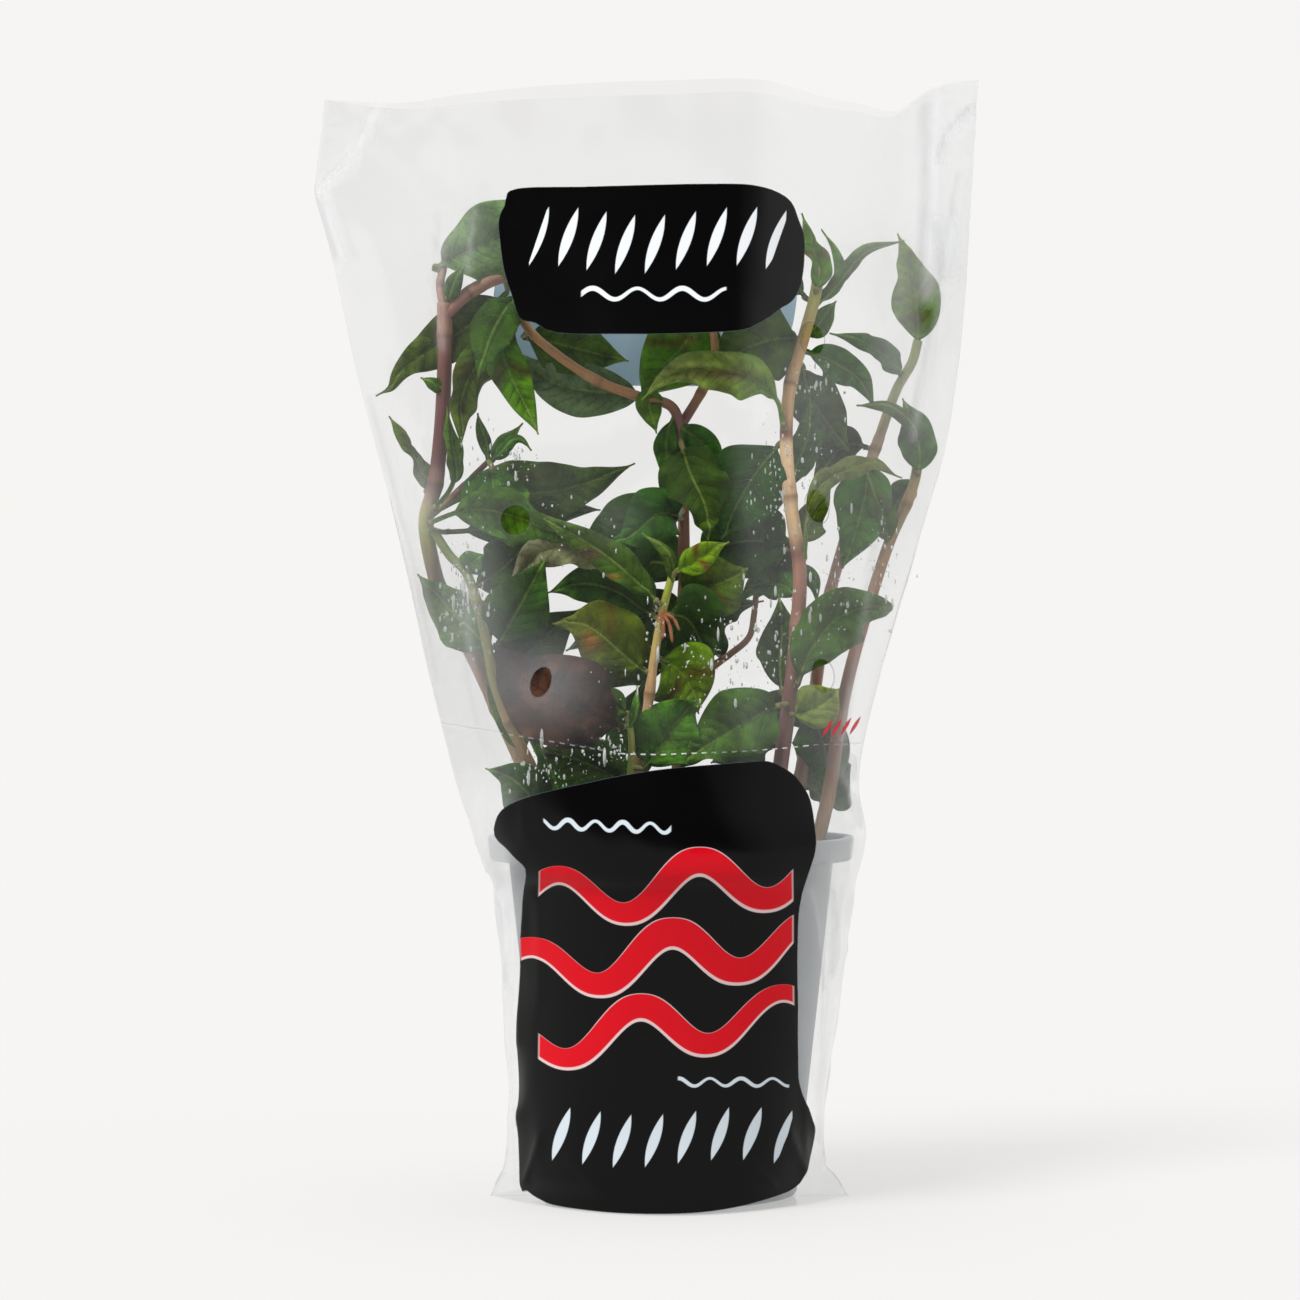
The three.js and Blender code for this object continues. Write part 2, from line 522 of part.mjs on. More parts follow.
// Leaves with a piece of their own: width across the blade, the turn about the midrib and the fold of
// the halves in degrees, and the midrib from the stem to the tip.
const LEAVES = [
  {
    name: "leaf_top_left", width: 22, fold: 10,
    path: [[-69, 269, -1], [-60, 275, -2], [-46, 278.6, -2], [-27, 280, -2]],
  },
  {
    name: "leaf_tailed_left", width: 16, fold: 10,
    path: [
      [-47.5, 262, 3], [-56, 256, 5], [-68, 245.4, 5],
      [-77.5, 237.5, 3], [-80.5, 233.6, 2], [-84.5, 231.8, 1],
    ],
  },
  {
    name: "leaf_hanging_front", width: 15, roll: 12, fold: 22,
    path: [[-47.5, 257, -9], [-48.6, 246, -12], [-45.4, 233.4, -13], [-38.8, 221, -13]],
  },
  {
    name: "leaf_curled_left", width: 13, roll: -12, fold: 20,
    path: [[-48.5, 256, -7], [-53, 246, -9], [-58.5, 236, -9], [-60.6, 227, -8], [-61.6, 217.5, -6]],
  },
  {
    name: "leaf_narrow_left", width: 6.5, roll: 25, stalk: 0.3,
    path: [[-69, 199, -4], [-64, 207, -5], [-62.6, 214, -6], [-64.6, 221, -6], [-67.5, 227.6, -6]],
  },
  {
    name: "leaf_upright_left", width: 7.5, roll: 50,
    path: [[-70.5, 203.5, 1], [-75, 213, 0], [-82.2, 226, 0]],
  },
  {
    name: "leaf_under_label_left", width: 13, fold: 12,
    path: [[-42, 249, -4], [-31, 248.6, -3], [-21, 245.6, -2], [-13, 240, -2]],
  },
  {
    name: "leaf_under_branch", width: 12, roll: -10, fold: 8,
    path: [[-6.5, 230.6, -1], [-20, 231.8, 1], [-33, 235, 2], [-44.4, 243.5, 2]],
  },
  {
    name: "leaf_bright_middle", width: 24, fold: 8,
    path: [[9.6, 259, 5], [4.5, 249, 7], [-2.5, 239.5, 6], [-9.4, 231.2, 5]],
  },
  {
    name: "leaf_arching", width: 15, roll: -25, fold: 30, stalk: 0.16,
    path: [
      [32.6, 223, -12], [31, 231, -14], [22, 238, -15],
      [8, 239.4, -14], [-2, 236.6, -13], [-9, 231.4, -12],
    ],
  },
  {
    name: "leaf_right_top", width: 8, roll: 30, fold: 20,
    path: [[42, 262, -7], [43, 270, -7], [40.8, 278, -6], [36.4, 284, -5]],
  },
  {
    name: "leaf_behind_label_right", width: 14,
    path: [[39.5, 260, -2], [32, 266, 0], [23, 271, 0], [11, 274, 0]],
  },
  {
    name: "leaf_behind_label_left", width: 15,
    path: [[8, 264, 6], [-2, 268.5, 7], [-14, 271, 7], [-26, 271.5, 7]],
  },
  {
    name: "leaf_pale_right", width: 20, fold: 8,
    path: [[36.6, 250, -3], [29, 250, -2], [20, 246.5, -3], [13.4, 239.5, -5]],
  },
  {
    name: "leaf_right_big", width: 17, fold: 16,
    path: [[72.2, 246.6, 0], [72.4, 254, -1], [70.2, 265, -1], [65.8, 278.6, -1]],
  },
  {
    name: "leaf_right_spoon", width: 12, fold: 8,
    path: [[38.6, 245, -6], [45.6, 244, -7], [53.4, 238, -6], [60, 229, -4]],
  },
  {
    name: "leaf_right_hazy", width: 18, fold: 10,
    path: [[38, 241, -3], [43.4, 233, 1], [49.4, 225, 3], [57, 214.4, 4]],
  },
  {
    name: "leaf_right_edge", width: 12, fold: 10,
    path: [[71.6, 209, -2], [72, 214, -3], [71.4, 222, -3], [66.6, 231, -2]],
  },
  {
    name: "leaf_right_dark", width: 15, fold: 8,
    path: [[57, 217, 5], [52, 217.4, 8], [46, 213.6, 9], [40.6, 206, 8]],
  },
  {
    name: "leaf_right_front", width: 10, roll: -25, fold: 25, stalk: 0.22,
    path: [[38.6, 184.5, -11], [39.2, 196, -14], [43.6, 205, -15], [53, 208.6, -13], [68, 210.6, -6]],
  },
  {
    name: "leaf_right_hanging", width: 18, fold: 12,
    path: [[57.5, 213.5, 1], [56.4, 204.5, 0], [54, 194, -1], [51, 182.4, -1]],
  },
  {
    name: "leaf_right_low", width: 18, fold: 10,
    path: [[36.6, 148, -11], [38.8, 157.4, -12], [46, 166, -11], [55, 169.4, -8], [65, 170.8, -4]],
  },
  {
    name: "leaf_left_long", width: 19, fold: 8, stalk: 0.14,
    path: [[-69, 198, 4], [-58, 202.6, 7], [-42, 203.8, 6], [-27, 207, 5], [-11.2, 213.6, 4]],
  },
  {
    name: "leaf_left_second", width: 13, stalk: 0.14,
    path: [[-65.5, 192.5, 3], [-50, 195.4, 11], [-36, 197.4, 11], [-21, 197.6, 9]],
  },
  {
    name: "leaf_left_round", width: 20, fold: 8,
    path: [[-52, 211.5, -5], [-51, 203, -8], [-46, 195, -9], [-38.6, 190, -9]],
  },
  {
    name: "leaf_front_long", width: 15, roll: 12, fold: 25,
    path: [[-3.6, 172, -25], [-12, 180.4, -26], [-22, 188.4, -24], [-32, 194, -22], [-44.4, 198.2, -19]],
  },
  {
    name: "leaf_left_stalked", width: 16, roll: 25, fold: 15, stalk: 0.18,
    path: [[-70.5, 195, -4], [-59, 197.6, -10], [-47, 196.6, -15], [-36, 193, -17], [-24.4, 186.6, -17]],
  },
  {
    name: "leaf_middle_left", width: 21, fold: 8,
    path: [[1.4, 196.4, -1], [-6.4, 195, -4], [-16.6, 190.4, -6], [-28, 186, -6]],
  },
  {
    name: "leaf_middle_hazy", width: 17, fold: 12,
    path: [[1.6, 197, -5], [-4, 196.6, -12], [-10.6, 192.6, -15], [-18.4, 187, -16]],
  },
  {
    name: "leaf_middle_dark", width: 20, fold: 10,
    path: [[3.2, 217.4, -5], [6.4, 208.6, -10], [9.4, 200.4, -13], [11.4, 190, -14]],
  },
  {
    name: "leaf_middle_right", width: 23, fold: 8,
    path: [[31.8, 218.4, -8], [26.4, 212.4, -7], [20.6, 203, -6], [15, 190.4, -6]],
  },
  {
    name: "leaf_middle_wide", width: 23, fold: 6,
    path: [[34.6, 187.4, -6], [26, 190, -1], [16.4, 189.4, 1], [6.6, 184.6, 2]],
  },
  {
    name: "leaf_young", width: 8.5, fold: 18,
    path: [[1.4, 181, -28], [8, 185, -30], [17, 189.6, -29]],
  },
  {
    name: "leaf_left_dark", width: 20, fold: 10,
    path: [[-50.5, 159.5, -12], [-46.6, 167, -13], [-41.4, 175, -14], [-35.8, 184.6, -13]],
  },
  {
    name: "leaf_left_light", width: 12, roll: 25, fold: 15, stalk: 0.26,
    path: [
      [-4.6, 170.5, -21], [-15, 180.4, -19], [-27, 187, -18],
      [-38.4, 185.4, -17], [-48.4, 171.6, -17],
    ],
  },
  {
    name: "leaf_middle_spiky", width: 19, fold: 12,
    path: [[-4.8, 168, -20], [-14, 175, -14], [-25, 176.6, -11], [-35, 174.6, -9]],
  },
  {
    name: "leaf_left_low", width: 18, fold: 10,
    path: [[-52.4, 157, -12], [-57.4, 163.4, -8], [-64.6, 170.6, -4], [-72, 181, -3]],
  },
  {
    name: "leaf_left_lowest", width: 11, fold: 12,
    path: [[-42, 127, -12], [-45.4, 138.4, -6], [-50.6, 150, -3], [-57.4, 162, -1]],
  },
  {
    name: "leaf_rim_left", width: 16,
    path: [[-37.6, 111, -16], [-41.6, 117, -20], [-47, 121.4, -19], [-53, 124.4, -16]],
  },
  {
    name: "leaf_rim_middle", width: 18,
    path: [[-12.4, 119, -27], [-21, 123.6, -30], [-30, 127.6, -31], [-39, 129.6, -29]],
  },
  {
    name: "leaf_withered", width: 27, fold: 4,
    path: [[-14, 136, -29], [-22, 138, -33], [-32, 143.6, -35], [-42, 150.4, -34], [-50, 158, -28]],
  },
  {
    name: "leaf_middle_olive", width: 23, fold: 10,
    path: [[-7.4, 152, -22], [-14, 158, -20], [-23, 163.8, -19], [-34, 168, -18]],
  },
  {
    name: "leaf_middle_vivid", width: 21, fold: 10,
    path: [[-3.6, 156, -20], [1.4, 153, -20], [6, 147.6, -19], [9, 140.4, -18]],
  },
  {
    name: "leaf_middle_shade", width: 21, fold: 10,
    path: [[-0.6, 168.6, -19], [5, 166.4, -13], [9, 160.6, -10], [11, 152, -9]],
  },
  {
    name: "leaf_brownish", width: 20, fold: 10,
    path: [[6, 172.6, -1], [13, 177.4, -8], [22, 182.6, -9]],
  },
  {
    name: "leaf_by_right_stem", width: 14,
    path: [[32.2, 146, -8], [32, 155.6, -4], [31.6, 164.6, -3], [31, 174.4, -3]],
  },
  {
    name: "leaf_low_right", width: 21, fold: 10,
    path: [[31.6, 142.4, -14], [23, 138.4, -20], [12, 132, -24], [1, 125.6, -26]],
  },
  {
    name: "leaf_low_centre", width: 22,
    path: [[-8, 124, -24], [-3, 131.4, -21], [2.4, 137.6, -20], [8.8, 143.4, -19]],
  },
  {
    name: "leaf_low_pale", width: 14,
    path: [[35.6, 139.4, -12], [41, 141.4, -15], [49, 147, -14]],
  },
];

const COLOURS = {
  film: "#dfe3e2", pot: "#7d8286", soil: "#3a2a1f", stem: "#a9836a", shoot: "#b7ad5b",
  leaf: "#55743c", young: "#8fae2c", withered: "#7d6a5e",
};

function finish(colour, roughness) {
  return new THREE.MeshStandardMaterial({ color: COLOURS[colour], roughness, metalness: 0 });
}

function stemWithShoots(stem, grow = 0) {
  // A stem with its side shoots and leaflets, grown into one body.
  let body = stemBody(stem, grow);
  for (const twig of stem.twigs ?? []) {
    body = body.add(stemBody({ swell: 1.1, ...twig }, grow));
  }
  for (const leaflet of stem.leaflets ?? []) {
    body = body.add(leafBody({ fold: 12, ...leaflet }, grow));
  }
  return body;
}

function apart(a, b) {
  // Whether two bodies' boxes are clear of each other.
  const p = a.boundingBox();
  const q = b.boundingBox();
  return [0, 1, 2].some((i) => p.max[i] < q.min[i] || q.max[i] < p.min[i]);
}

const object = new THREE.Group();

function show(name, body, material) {
  const mesh = new THREE.Mesh(geometryOf(body), material);
  mesh.name = name;
  object.add(mesh);
}

const film = sleeve();
const hollow = bag(FILM.wall + GAP, FILM.wall + GAP, 0);
const placed = [];

function settle(body) {
  // Cuts a new piece of the plant clear of the film and of every piece that is already there.
  let clear = body.intersect(hollow);
  for (const other of placed) {
    if (!apart(clear, other)) clear = clear.subtract(other);
  }
  return largest(clear);
}

let ground = soil();
for (const stem of STEMS) {
  const body = settle(stemWithShoots(stem));
  placed.push(stemWithShoots(stem, GAP));
  ground = ground.subtract(stemBody(stem, GAP));
  show(stem.name, body, finish(stem.name.startsWith("shoot") ? "shoot" : "stem", 0.5));
}
for (const leaf of LEAVES) {
  const body = settle(leafBody(leaf));
  placed.push(leafBody(leaf, GAP));
  const colour = { leaf_withered: "withered", leaf_young: "young" }[leaf.name] ?? "leaf";
  show(leaf.name, body, finish(colour, 0.45));
}
show("soil", largest(ground), finish("soil", 0.95));
show("pot", pot(), finish("pot", 0.55));
show("sleeve", film, finish("film", 0.15));

export default object;
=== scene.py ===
# %% [markdown]
# # A potted mint in its clear sleeve
# A leafy herb grows in a grey plastic pot, and both stand in a sleeve of clear printed film. This lesson
# loads the measured solids of the object and gives every one of them its looks: leaves with veins and
# marks, jointed stems, crumbly soil, a moulded pot, and creased film with drops of moisture inside.
# The solids are only a frame here. Each finer piece is a surface worked out with numpy from the same
# few dimensions, so it lies where its solid lies.

# %% Load the frame
import math

import bpy
import numpy as np
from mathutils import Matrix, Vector


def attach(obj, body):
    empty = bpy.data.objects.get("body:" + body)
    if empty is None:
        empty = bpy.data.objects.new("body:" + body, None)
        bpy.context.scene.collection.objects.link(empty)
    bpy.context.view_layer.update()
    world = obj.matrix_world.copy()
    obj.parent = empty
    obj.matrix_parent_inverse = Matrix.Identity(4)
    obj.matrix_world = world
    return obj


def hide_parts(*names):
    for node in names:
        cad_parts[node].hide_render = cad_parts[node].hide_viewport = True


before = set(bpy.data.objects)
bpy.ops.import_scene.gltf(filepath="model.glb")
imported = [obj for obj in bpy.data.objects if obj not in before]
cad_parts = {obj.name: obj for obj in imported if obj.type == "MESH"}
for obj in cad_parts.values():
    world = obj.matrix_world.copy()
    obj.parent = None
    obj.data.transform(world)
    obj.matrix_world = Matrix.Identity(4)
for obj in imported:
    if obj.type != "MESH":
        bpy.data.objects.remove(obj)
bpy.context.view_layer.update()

MM = 0.001  # the lengths below are in millimetres, and a mesh is written in metres

# %% [markdown]
# ## The camera
# The picture was taken level with the middle of the sleeve from a little over a metre away, so its
# outlines are those of a view with little perspective. The camera comes first, because the outlines of
# the print and the colours of the leaves are given as they line up from there: across and up in the
# plane of the pot's axis.

# %% Camera
EYE = np.array([-6.1, -1150.0, 158.3])
PICTURE_WIDTH = 377.0  # what the frame takes in, at the pot's axis
SENSOR = 36.0
AWAY = -EYE[1]


def make_camera():
    data = bpy.data.cameras.new("camera")
    data.sensor_width = SENSOR
    data.lens = SENSOR * AWAY / PICTURE_WIDTH
    data.clip_end = 50
    ob = bpy.data.objects.new("camera", data)
    ob.location = Vector(EYE * MM)
    ob.rotation_euler = (math.radians(90), 0, 0)
    bpy.context.scene.collection.objects.link(ob)
    bpy.context.scene.camera = ob
    return ob


def seen(points):
    """Across and up of points as they line up from the camera, in the plane of the pot's axis."""
    spread = AWAY / (AWAY + points[..., 1])
    across = EYE[0] + (points[..., 0] - EYE[0]) * spread
    up = EYE[2] + (points[..., 2] - EYE[2]) * spread
    return across, up


print("lens:", round(make_camera().data.lens, 1), "mm")

# %% [markdown]
# ## Smooth numbers
# A few small tools do most of the shaping. One eases from 0 to 1. Two draw smooth lines, through a
# short list of measured values and between two points. One makes a soft spot, one moves a colour towards
# another, and the last gives smooth noise: random numbers on a lattice, eased between, the same each
# time because its seed is fixed.

# %% Easing, smooth lists and noise


def ease(t):
    """0 below 0, 1 above 1, and 3t^2 - 2t^3 between."""
    s = np.clip(t, 0, 1)
    return s * s * (3 - 2 * s)


def through(x, xs, ys):
    """Cubic steps through the rows (xs, ys). A row's slope is that of the line joining its neighbours."""
    xs, ys = np.asarray(xs, float), np.asarray(ys, float)
    slope = np.empty_like(ys)
    slope[1:-1] = (ys[2:] - ys[:-2]) / (xs[2:] - xs[:-2])
    slope[0] = (ys[1] - ys[0]) / (xs[1] - xs[0])
    slope[-1] = (ys[-1] - ys[-2]) / (xs[-1] - xs[-2])
    x = np.clip(x, xs[0], xs[-1])
    i = np.clip(np.searchsorted(xs, x, side="right") - 1, 0, len(xs) - 2)
    span = xs[i + 1] - xs[i]
    t = (x - xs[i]) / span
    t2, t3 = t * t, t * t * t
    return (ys[i] * (2 * t3 - 3 * t2 + 1) + slope[i] * span * (t3 - 2 * t2 + t)
            + ys[i + 1] * (3 * t2 - 2 * t3) + slope[i + 1] * span * (t3 - t2))


def spans(p1, p2, out, back, count):
    """A cubic from p1 to p2 in equal steps of t, p2 left out. It leaves p1 along out and reaches p2
    along back: p1 + out t + (3(p2 - p1) - 2 out - back) t^2 + (2(p1 - p2) + out + back) t^3."""
    t = np.arange(count)[:, None] / count
    return (p1 + out * t + (3 * (p2 - p1) - 2 * out - back) * t ** 2
            + (2 * (p1 - p2) + out + back) * t ** 3)


def spot(across, up, x, z, reach_x, reach_z):
    """exp(-((across - x) / reach_x)^2 - ((up - z) / reach_z)^2), a soft round spot."""
    return np.exp(-((across - x) / reach_x) ** 2 - ((up - z) / reach_z) ** 2)


def towards(tone, colour, share):
    """Colours moved towards another one by a share that is given for each point."""
    return tone + (np.asarray(colour, float) - tone) * share[..., None]


def noise(u, v, seed):
    """Smooth noise from 0 to 1 over u and v, one lump for each whole number."""
    size = 64
    table = np.random.default_rng(seed).random((size, size))
    i, j = np.floor(u).astype(int), np.floor(v).astype(int)
    a, b = ease(u - i), ease(v - j)
    corner = lambda p, q: table[p % size, q % size]
    low = corner(i, j) * (1 - a) + corner(i + 1, j) * a
    high = corner(i, j + 1) * (1 - a) + corner(i + 1, j + 1) * a
    return low * (1 - b) + high * b


print("noise at a point:", round(float(noise(np.array(3.5), np.array(1.2), 1)), 3))

# %% [markdown]
# ## The sleeve's form
# A film sleeve is a flat, tapered tube, welded along its two edges. The pot opens it to a round section
# at the bottom, and at the mouth the two sheets lie almost flat on each other. So each height has a
# section between those two: how far it reaches left and right, half its depth, and how flat it is. The
# right edge is swept back, which is why the film turns away from the light there. Everything that is
# inside the sleeve is kept inside this form too, so it is worked out first.

# %% Sections of the sleeve
#         up, left, right, deep, flat, swept
SECTIONS = np.array([
    (0, -52.5, 51.5, 41, 0.95, 0),
    (3, -50.5, 49, 41.2, 0.85, 0),
    (9, -46.6, 43.9, 41.3, 0.25, 0),
    (26, -46, 44, 41.6, 0, 0),
    (60, -47.5, 48.2, 45, 0, 0),
    (91, -50.6, 53.2, 51, 0, 0),
    (96, -53.5, 54.7, 54.3, 0, 0),
    (106, -57.4, 55.9, 54.8, 0, 0),
    (118, -61.4, 54.2, 53, 0.1, 1),
    (130, -64.4, 55.6, 50.6, 0.25, 3),
    (158, -71.3, 62.9, 44.5, 0.5, 9),
    (187, -78.3, 71.7, 37.5, 0.7, 16),
    (216, -85.3, 80.5, 30, 0.9, 22),
    (245, -92.2, 85.4, 23, 1, 26),
    (274, -98.3, 87.6, 18.5, 1, 26),
    (292, -102.4, 88.5, 16.4, 1, 25),
    (320, -100, 90.5, 14.2, 1, 21),
])
FOLD_FROM, FOLD_OVER = 16, 58
MOUTH, TRIM_FROM = 320, 292
MOUTH_EDGE = np.array([
    (-102, 318), (-78, 316), (-60, 318), (-38, 320), (0, 321.5), (26, 322), (42, 319),
    (56, 317.5), (66, 316.5), (77, 324), (92, 327),
])


def section(up):
    """Centre, half width, half depth, flatness and sweep of the sleeve at these heights."""
    left, right, deep, flat, swept = (through(up, SECTIONS[:, 0], SECTIONS[:, k]) for k in range(1, 6))
    return (left + right) / 2, (right - left) / 2, deep, flat, swept


def middle_depth(up, x):
    """Depth of the surface half-way between the two sheets."""
    return section(up)[4] * ease((x - FOLD_FROM) / FOLD_OVER)


def half_depth(up, x):
    """From the middle surface to either sheet: a circle's sine, which flatness turns into its square."""
    centre, half, deep, flat, _ = section(up)
    sine = np.sqrt(1 - np.clip((x - centre) / half, -1, 1) ** 2)
    return deep * sine * (1 - flat + flat * sine)


def sheet_point(x, up, side):
    """The film's outer skin at x and a height. side is -1 on the front sheet and 1 on the back one."""
    y = middle_depth(up, x) + side * half_depth(up, x)
    lift = ease((up - TRIM_FROM) / (MOUTH - TRIM_FROM))
    z = up + (through(x, MOUTH_EDGE[:, 0], MOUTH_EDGE[:, 1]) - MOUTH) * lift
    return np.stack([x, y, z], -1)


def place(path, margin=1.6):
    """Points given as across, up and depth behind the middle surface, brought to their place in space
    and kept inside the film by the margin."""
    across, up, depth = np.array(path, float).T
    room = np.maximum(half_depth(up, across) - margin, 0)
    y = middle_depth(up, across) + np.clip(depth, -room, room)
    spread = (AWAY + y) / AWAY
    return np.stack([EYE[0] + (across - EYE[0]) * spread, y, EYE[2] + (up - EYE[2]) * spread], -1)


def keep_inside(points, margin):
    """Points of a leaf pressed back inside the film, as the sleeve presses the real ones."""
    x, y, z = points[..., 0], points[..., 1], points[..., 2]
    centre, half = section(z)[:2]
    x = np.clip(x, centre - half + 2 * margin, centre + half - 2 * margin)
    room = np.maximum(half_depth(z, x) - margin, 0)
    middle = middle_depth(z, x)
    return np.stack([x, np.clip(y, middle - room, middle + room), z], -1)


print("half depth at the pot's rim:", round(float(half_depth(np.array(104.0), np.array(0.0))), 1), "mm")

# %% [markdown]
# ## From arrays to meshes
# A mesh is made in one call from an array of points and an array of faces. Next to them go what the
# materials need to know about each point: its place on a leaf, its colour, how far inside a printed
# outline it is. A tube, a stem or a leaf is a stack of rings, so one function skins all of them and
# closes both ends with a point in the middle.

# %% Mesh from arrays


def ring_faces(rows, columns):
    """Quads between neighbouring rings of the same count, closed around. A ring turns to the left as
    seen from the last one, so the faces look outwards."""
    a = np.arange(rows - 1)[:, None] * columns + np.arange(columns)[None, :]
    b = np.arange(rows - 1)[:, None] * columns + (np.arange(columns)[None, :] + 1) % columns
    return np.stack([a, b, b + columns, a + columns], -1).reshape(-1, 4)


def skin(rings):
    """Points and faces of the closed skin over an array of rings: rows, columns, 3."""
    rows, columns, _ = rings.shape
    points = np.concatenate([rings.reshape(-1, 3), rings[0].mean(0)[None], rings[-1].mean(0)[None]])
    here = np.arange(columns)
    following = (here + 1) % columns
    last = (rows - 1) * columns
    first_cap = np.stack([np.full(columns, rows * columns), following, here], -1)
    last_cap = np.stack([np.full(columns, rows * columns + 1), last + here, last + following], -1)
    faces = [ring_faces(rows, columns).tolist(), first_cap.tolist(), last_cap.tolist()]
    return points, faces[0] + faces[1] + faces[2]


def with_caps(values):
    """Values of a skin's points from those of its rings: the two middle points take their ring's mean."""
    flat = values.reshape(-1, *values.shape[2:])
    return np.concatenate([flat, values[0].mean(0)[None], values[-1].mean(0)[None]])


class Pile:
    """Collects skins and what belongs to their points, to make one mesh of them."""

    def __init__(self):
        self.points, self.faces, self.extra, self.count = [], [], {}, 0

    def add(self, points, faces, **extra):
        self.faces += [[v + self.count for v in face] for face in faces]
        self.points.append(points)
        self.count += len(points)
        for name, values in extra.items():
            self.extra.setdefault(name, []).append(values)

    def mesh(self, name, body="root"):
        values = {key: np.concatenate(parts) for key, parts in self.extra.items()}
        return make_piece(name, np.concatenate(self.points), self.faces, values, body)


def make_piece(name, points, faces, values, body="root", crisp=None):
    """An object of these points, in millimetres, that rides on a body. Of the values, a pair for each
    point becomes a UV map, a triple a colour and a single number a plain attribute. Edges that turn by
    more than crisp degrees stay sharp."""
    mesh = bpy.data.meshes.new(name)
    mesh.from_pydata((points * MM).tolist(), [], faces)
    corner = np.empty(len(mesh.loops), np.int32)
    mesh.loops.foreach_get("vertex_index", corner)
    for key, value in values.items():
        value = np.asarray(value, np.float32)
        if value.ndim == 2 and value.shape[1] == 2:
            mesh.uv_layers.new(name=key).data.foreach_set("uv", value[corner].ravel())
        elif value.ndim == 2:
            solid = np.concatenate([value, np.ones((len(value), 1), np.float32)], 1)
            mesh.attributes.new(key, "FLOAT_COLOR", "POINT").data.foreach_set("color", solid.ravel())
        else:
            mesh.attributes.new(key, "FLOAT", "POINT").data.foreach_set("value", value)
    mesh.polygons.foreach_set("use_smooth", np.ones(len(mesh.polygons), bool))
    if crisp:
        mesh.set_sharp_from_angle(angle=math.radians(crisp))
    mesh.update()
    ob = bpy.data.objects.new(name, mesh)
    bpy.context.scene.collection.objects.link(ob)
    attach(ob, body)
    return ob


def finish_piece(ob, material, slot, *nodes):
    """Gives a piece its material and hides the solids that it stands for. The slot is not used."""
    ob.data.materials.append(material)
    if nodes:
        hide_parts(*nodes)
    return ob


print("a closed tube of 3 rings of 8 has", len(skin(np.zeros((3, 8, 3)))[1]), "faces")

# %% [markdown]
# ## Materials as written sums
# A material is a network of nodes, and most of that network is arithmetic. Written as sums, it can be
# read: the class below holds one socket, and adding or multiplying two of them adds the Math node that
# does it. Any other kind of node is added by one method.

# %% Nodes by arithmetic


class Wire:
    """The output of a node. Sums with numbers or other wires add Math nodes."""

    def __init__(self, paint, socket):
        self.paint, self.socket = paint, socket

    def maths(self, operation, *values):
        return self.paint.node("ShaderNodeMath", {"operation": operation}, dict(enumerate(values)))

    def __add__(self, other): return self.maths("ADD", self, other)
    def __radd__(self, other): return self.maths("ADD", other, self)
    def __sub__(self, other): return self.maths("SUBTRACT", self, other)
    def __rsub__(self, other): return self.maths("SUBTRACT", other, self)
    def __mul__(self, other): return self.maths("MULTIPLY", self, other)
    def __rmul__(self, other): return self.maths("MULTIPLY", other, self)
    def __truediv__(self, other): return self.maths("DIVIDE", self, other)
    def __rtruediv__(self, other): return self.maths("DIVIDE", other, self)
    def __pow__(self, other): return self.maths("POWER", self, other)
    def __abs__(self): return self.maths("ABSOLUTE", self)

    def least(self, other): return self.maths("MINIMUM", self, other)
    def most(self, other): return self.maths("MAXIMUM", self, other)
    def sine(self): return self.maths("SINE", self)
    def wrapped(self): return self.maths("FRACT", self)

    def step(self, low, high):
        """0 below low, 1 above high, eased between. low may be the larger, for a falling step."""
        return self.paint.node("ShaderNodeMapRange", {"interpolation_type": "SMOOTHSTEP"},
                               {"Value": self, 1: low, 2: high, 3: 0.0, 4: 1.0})


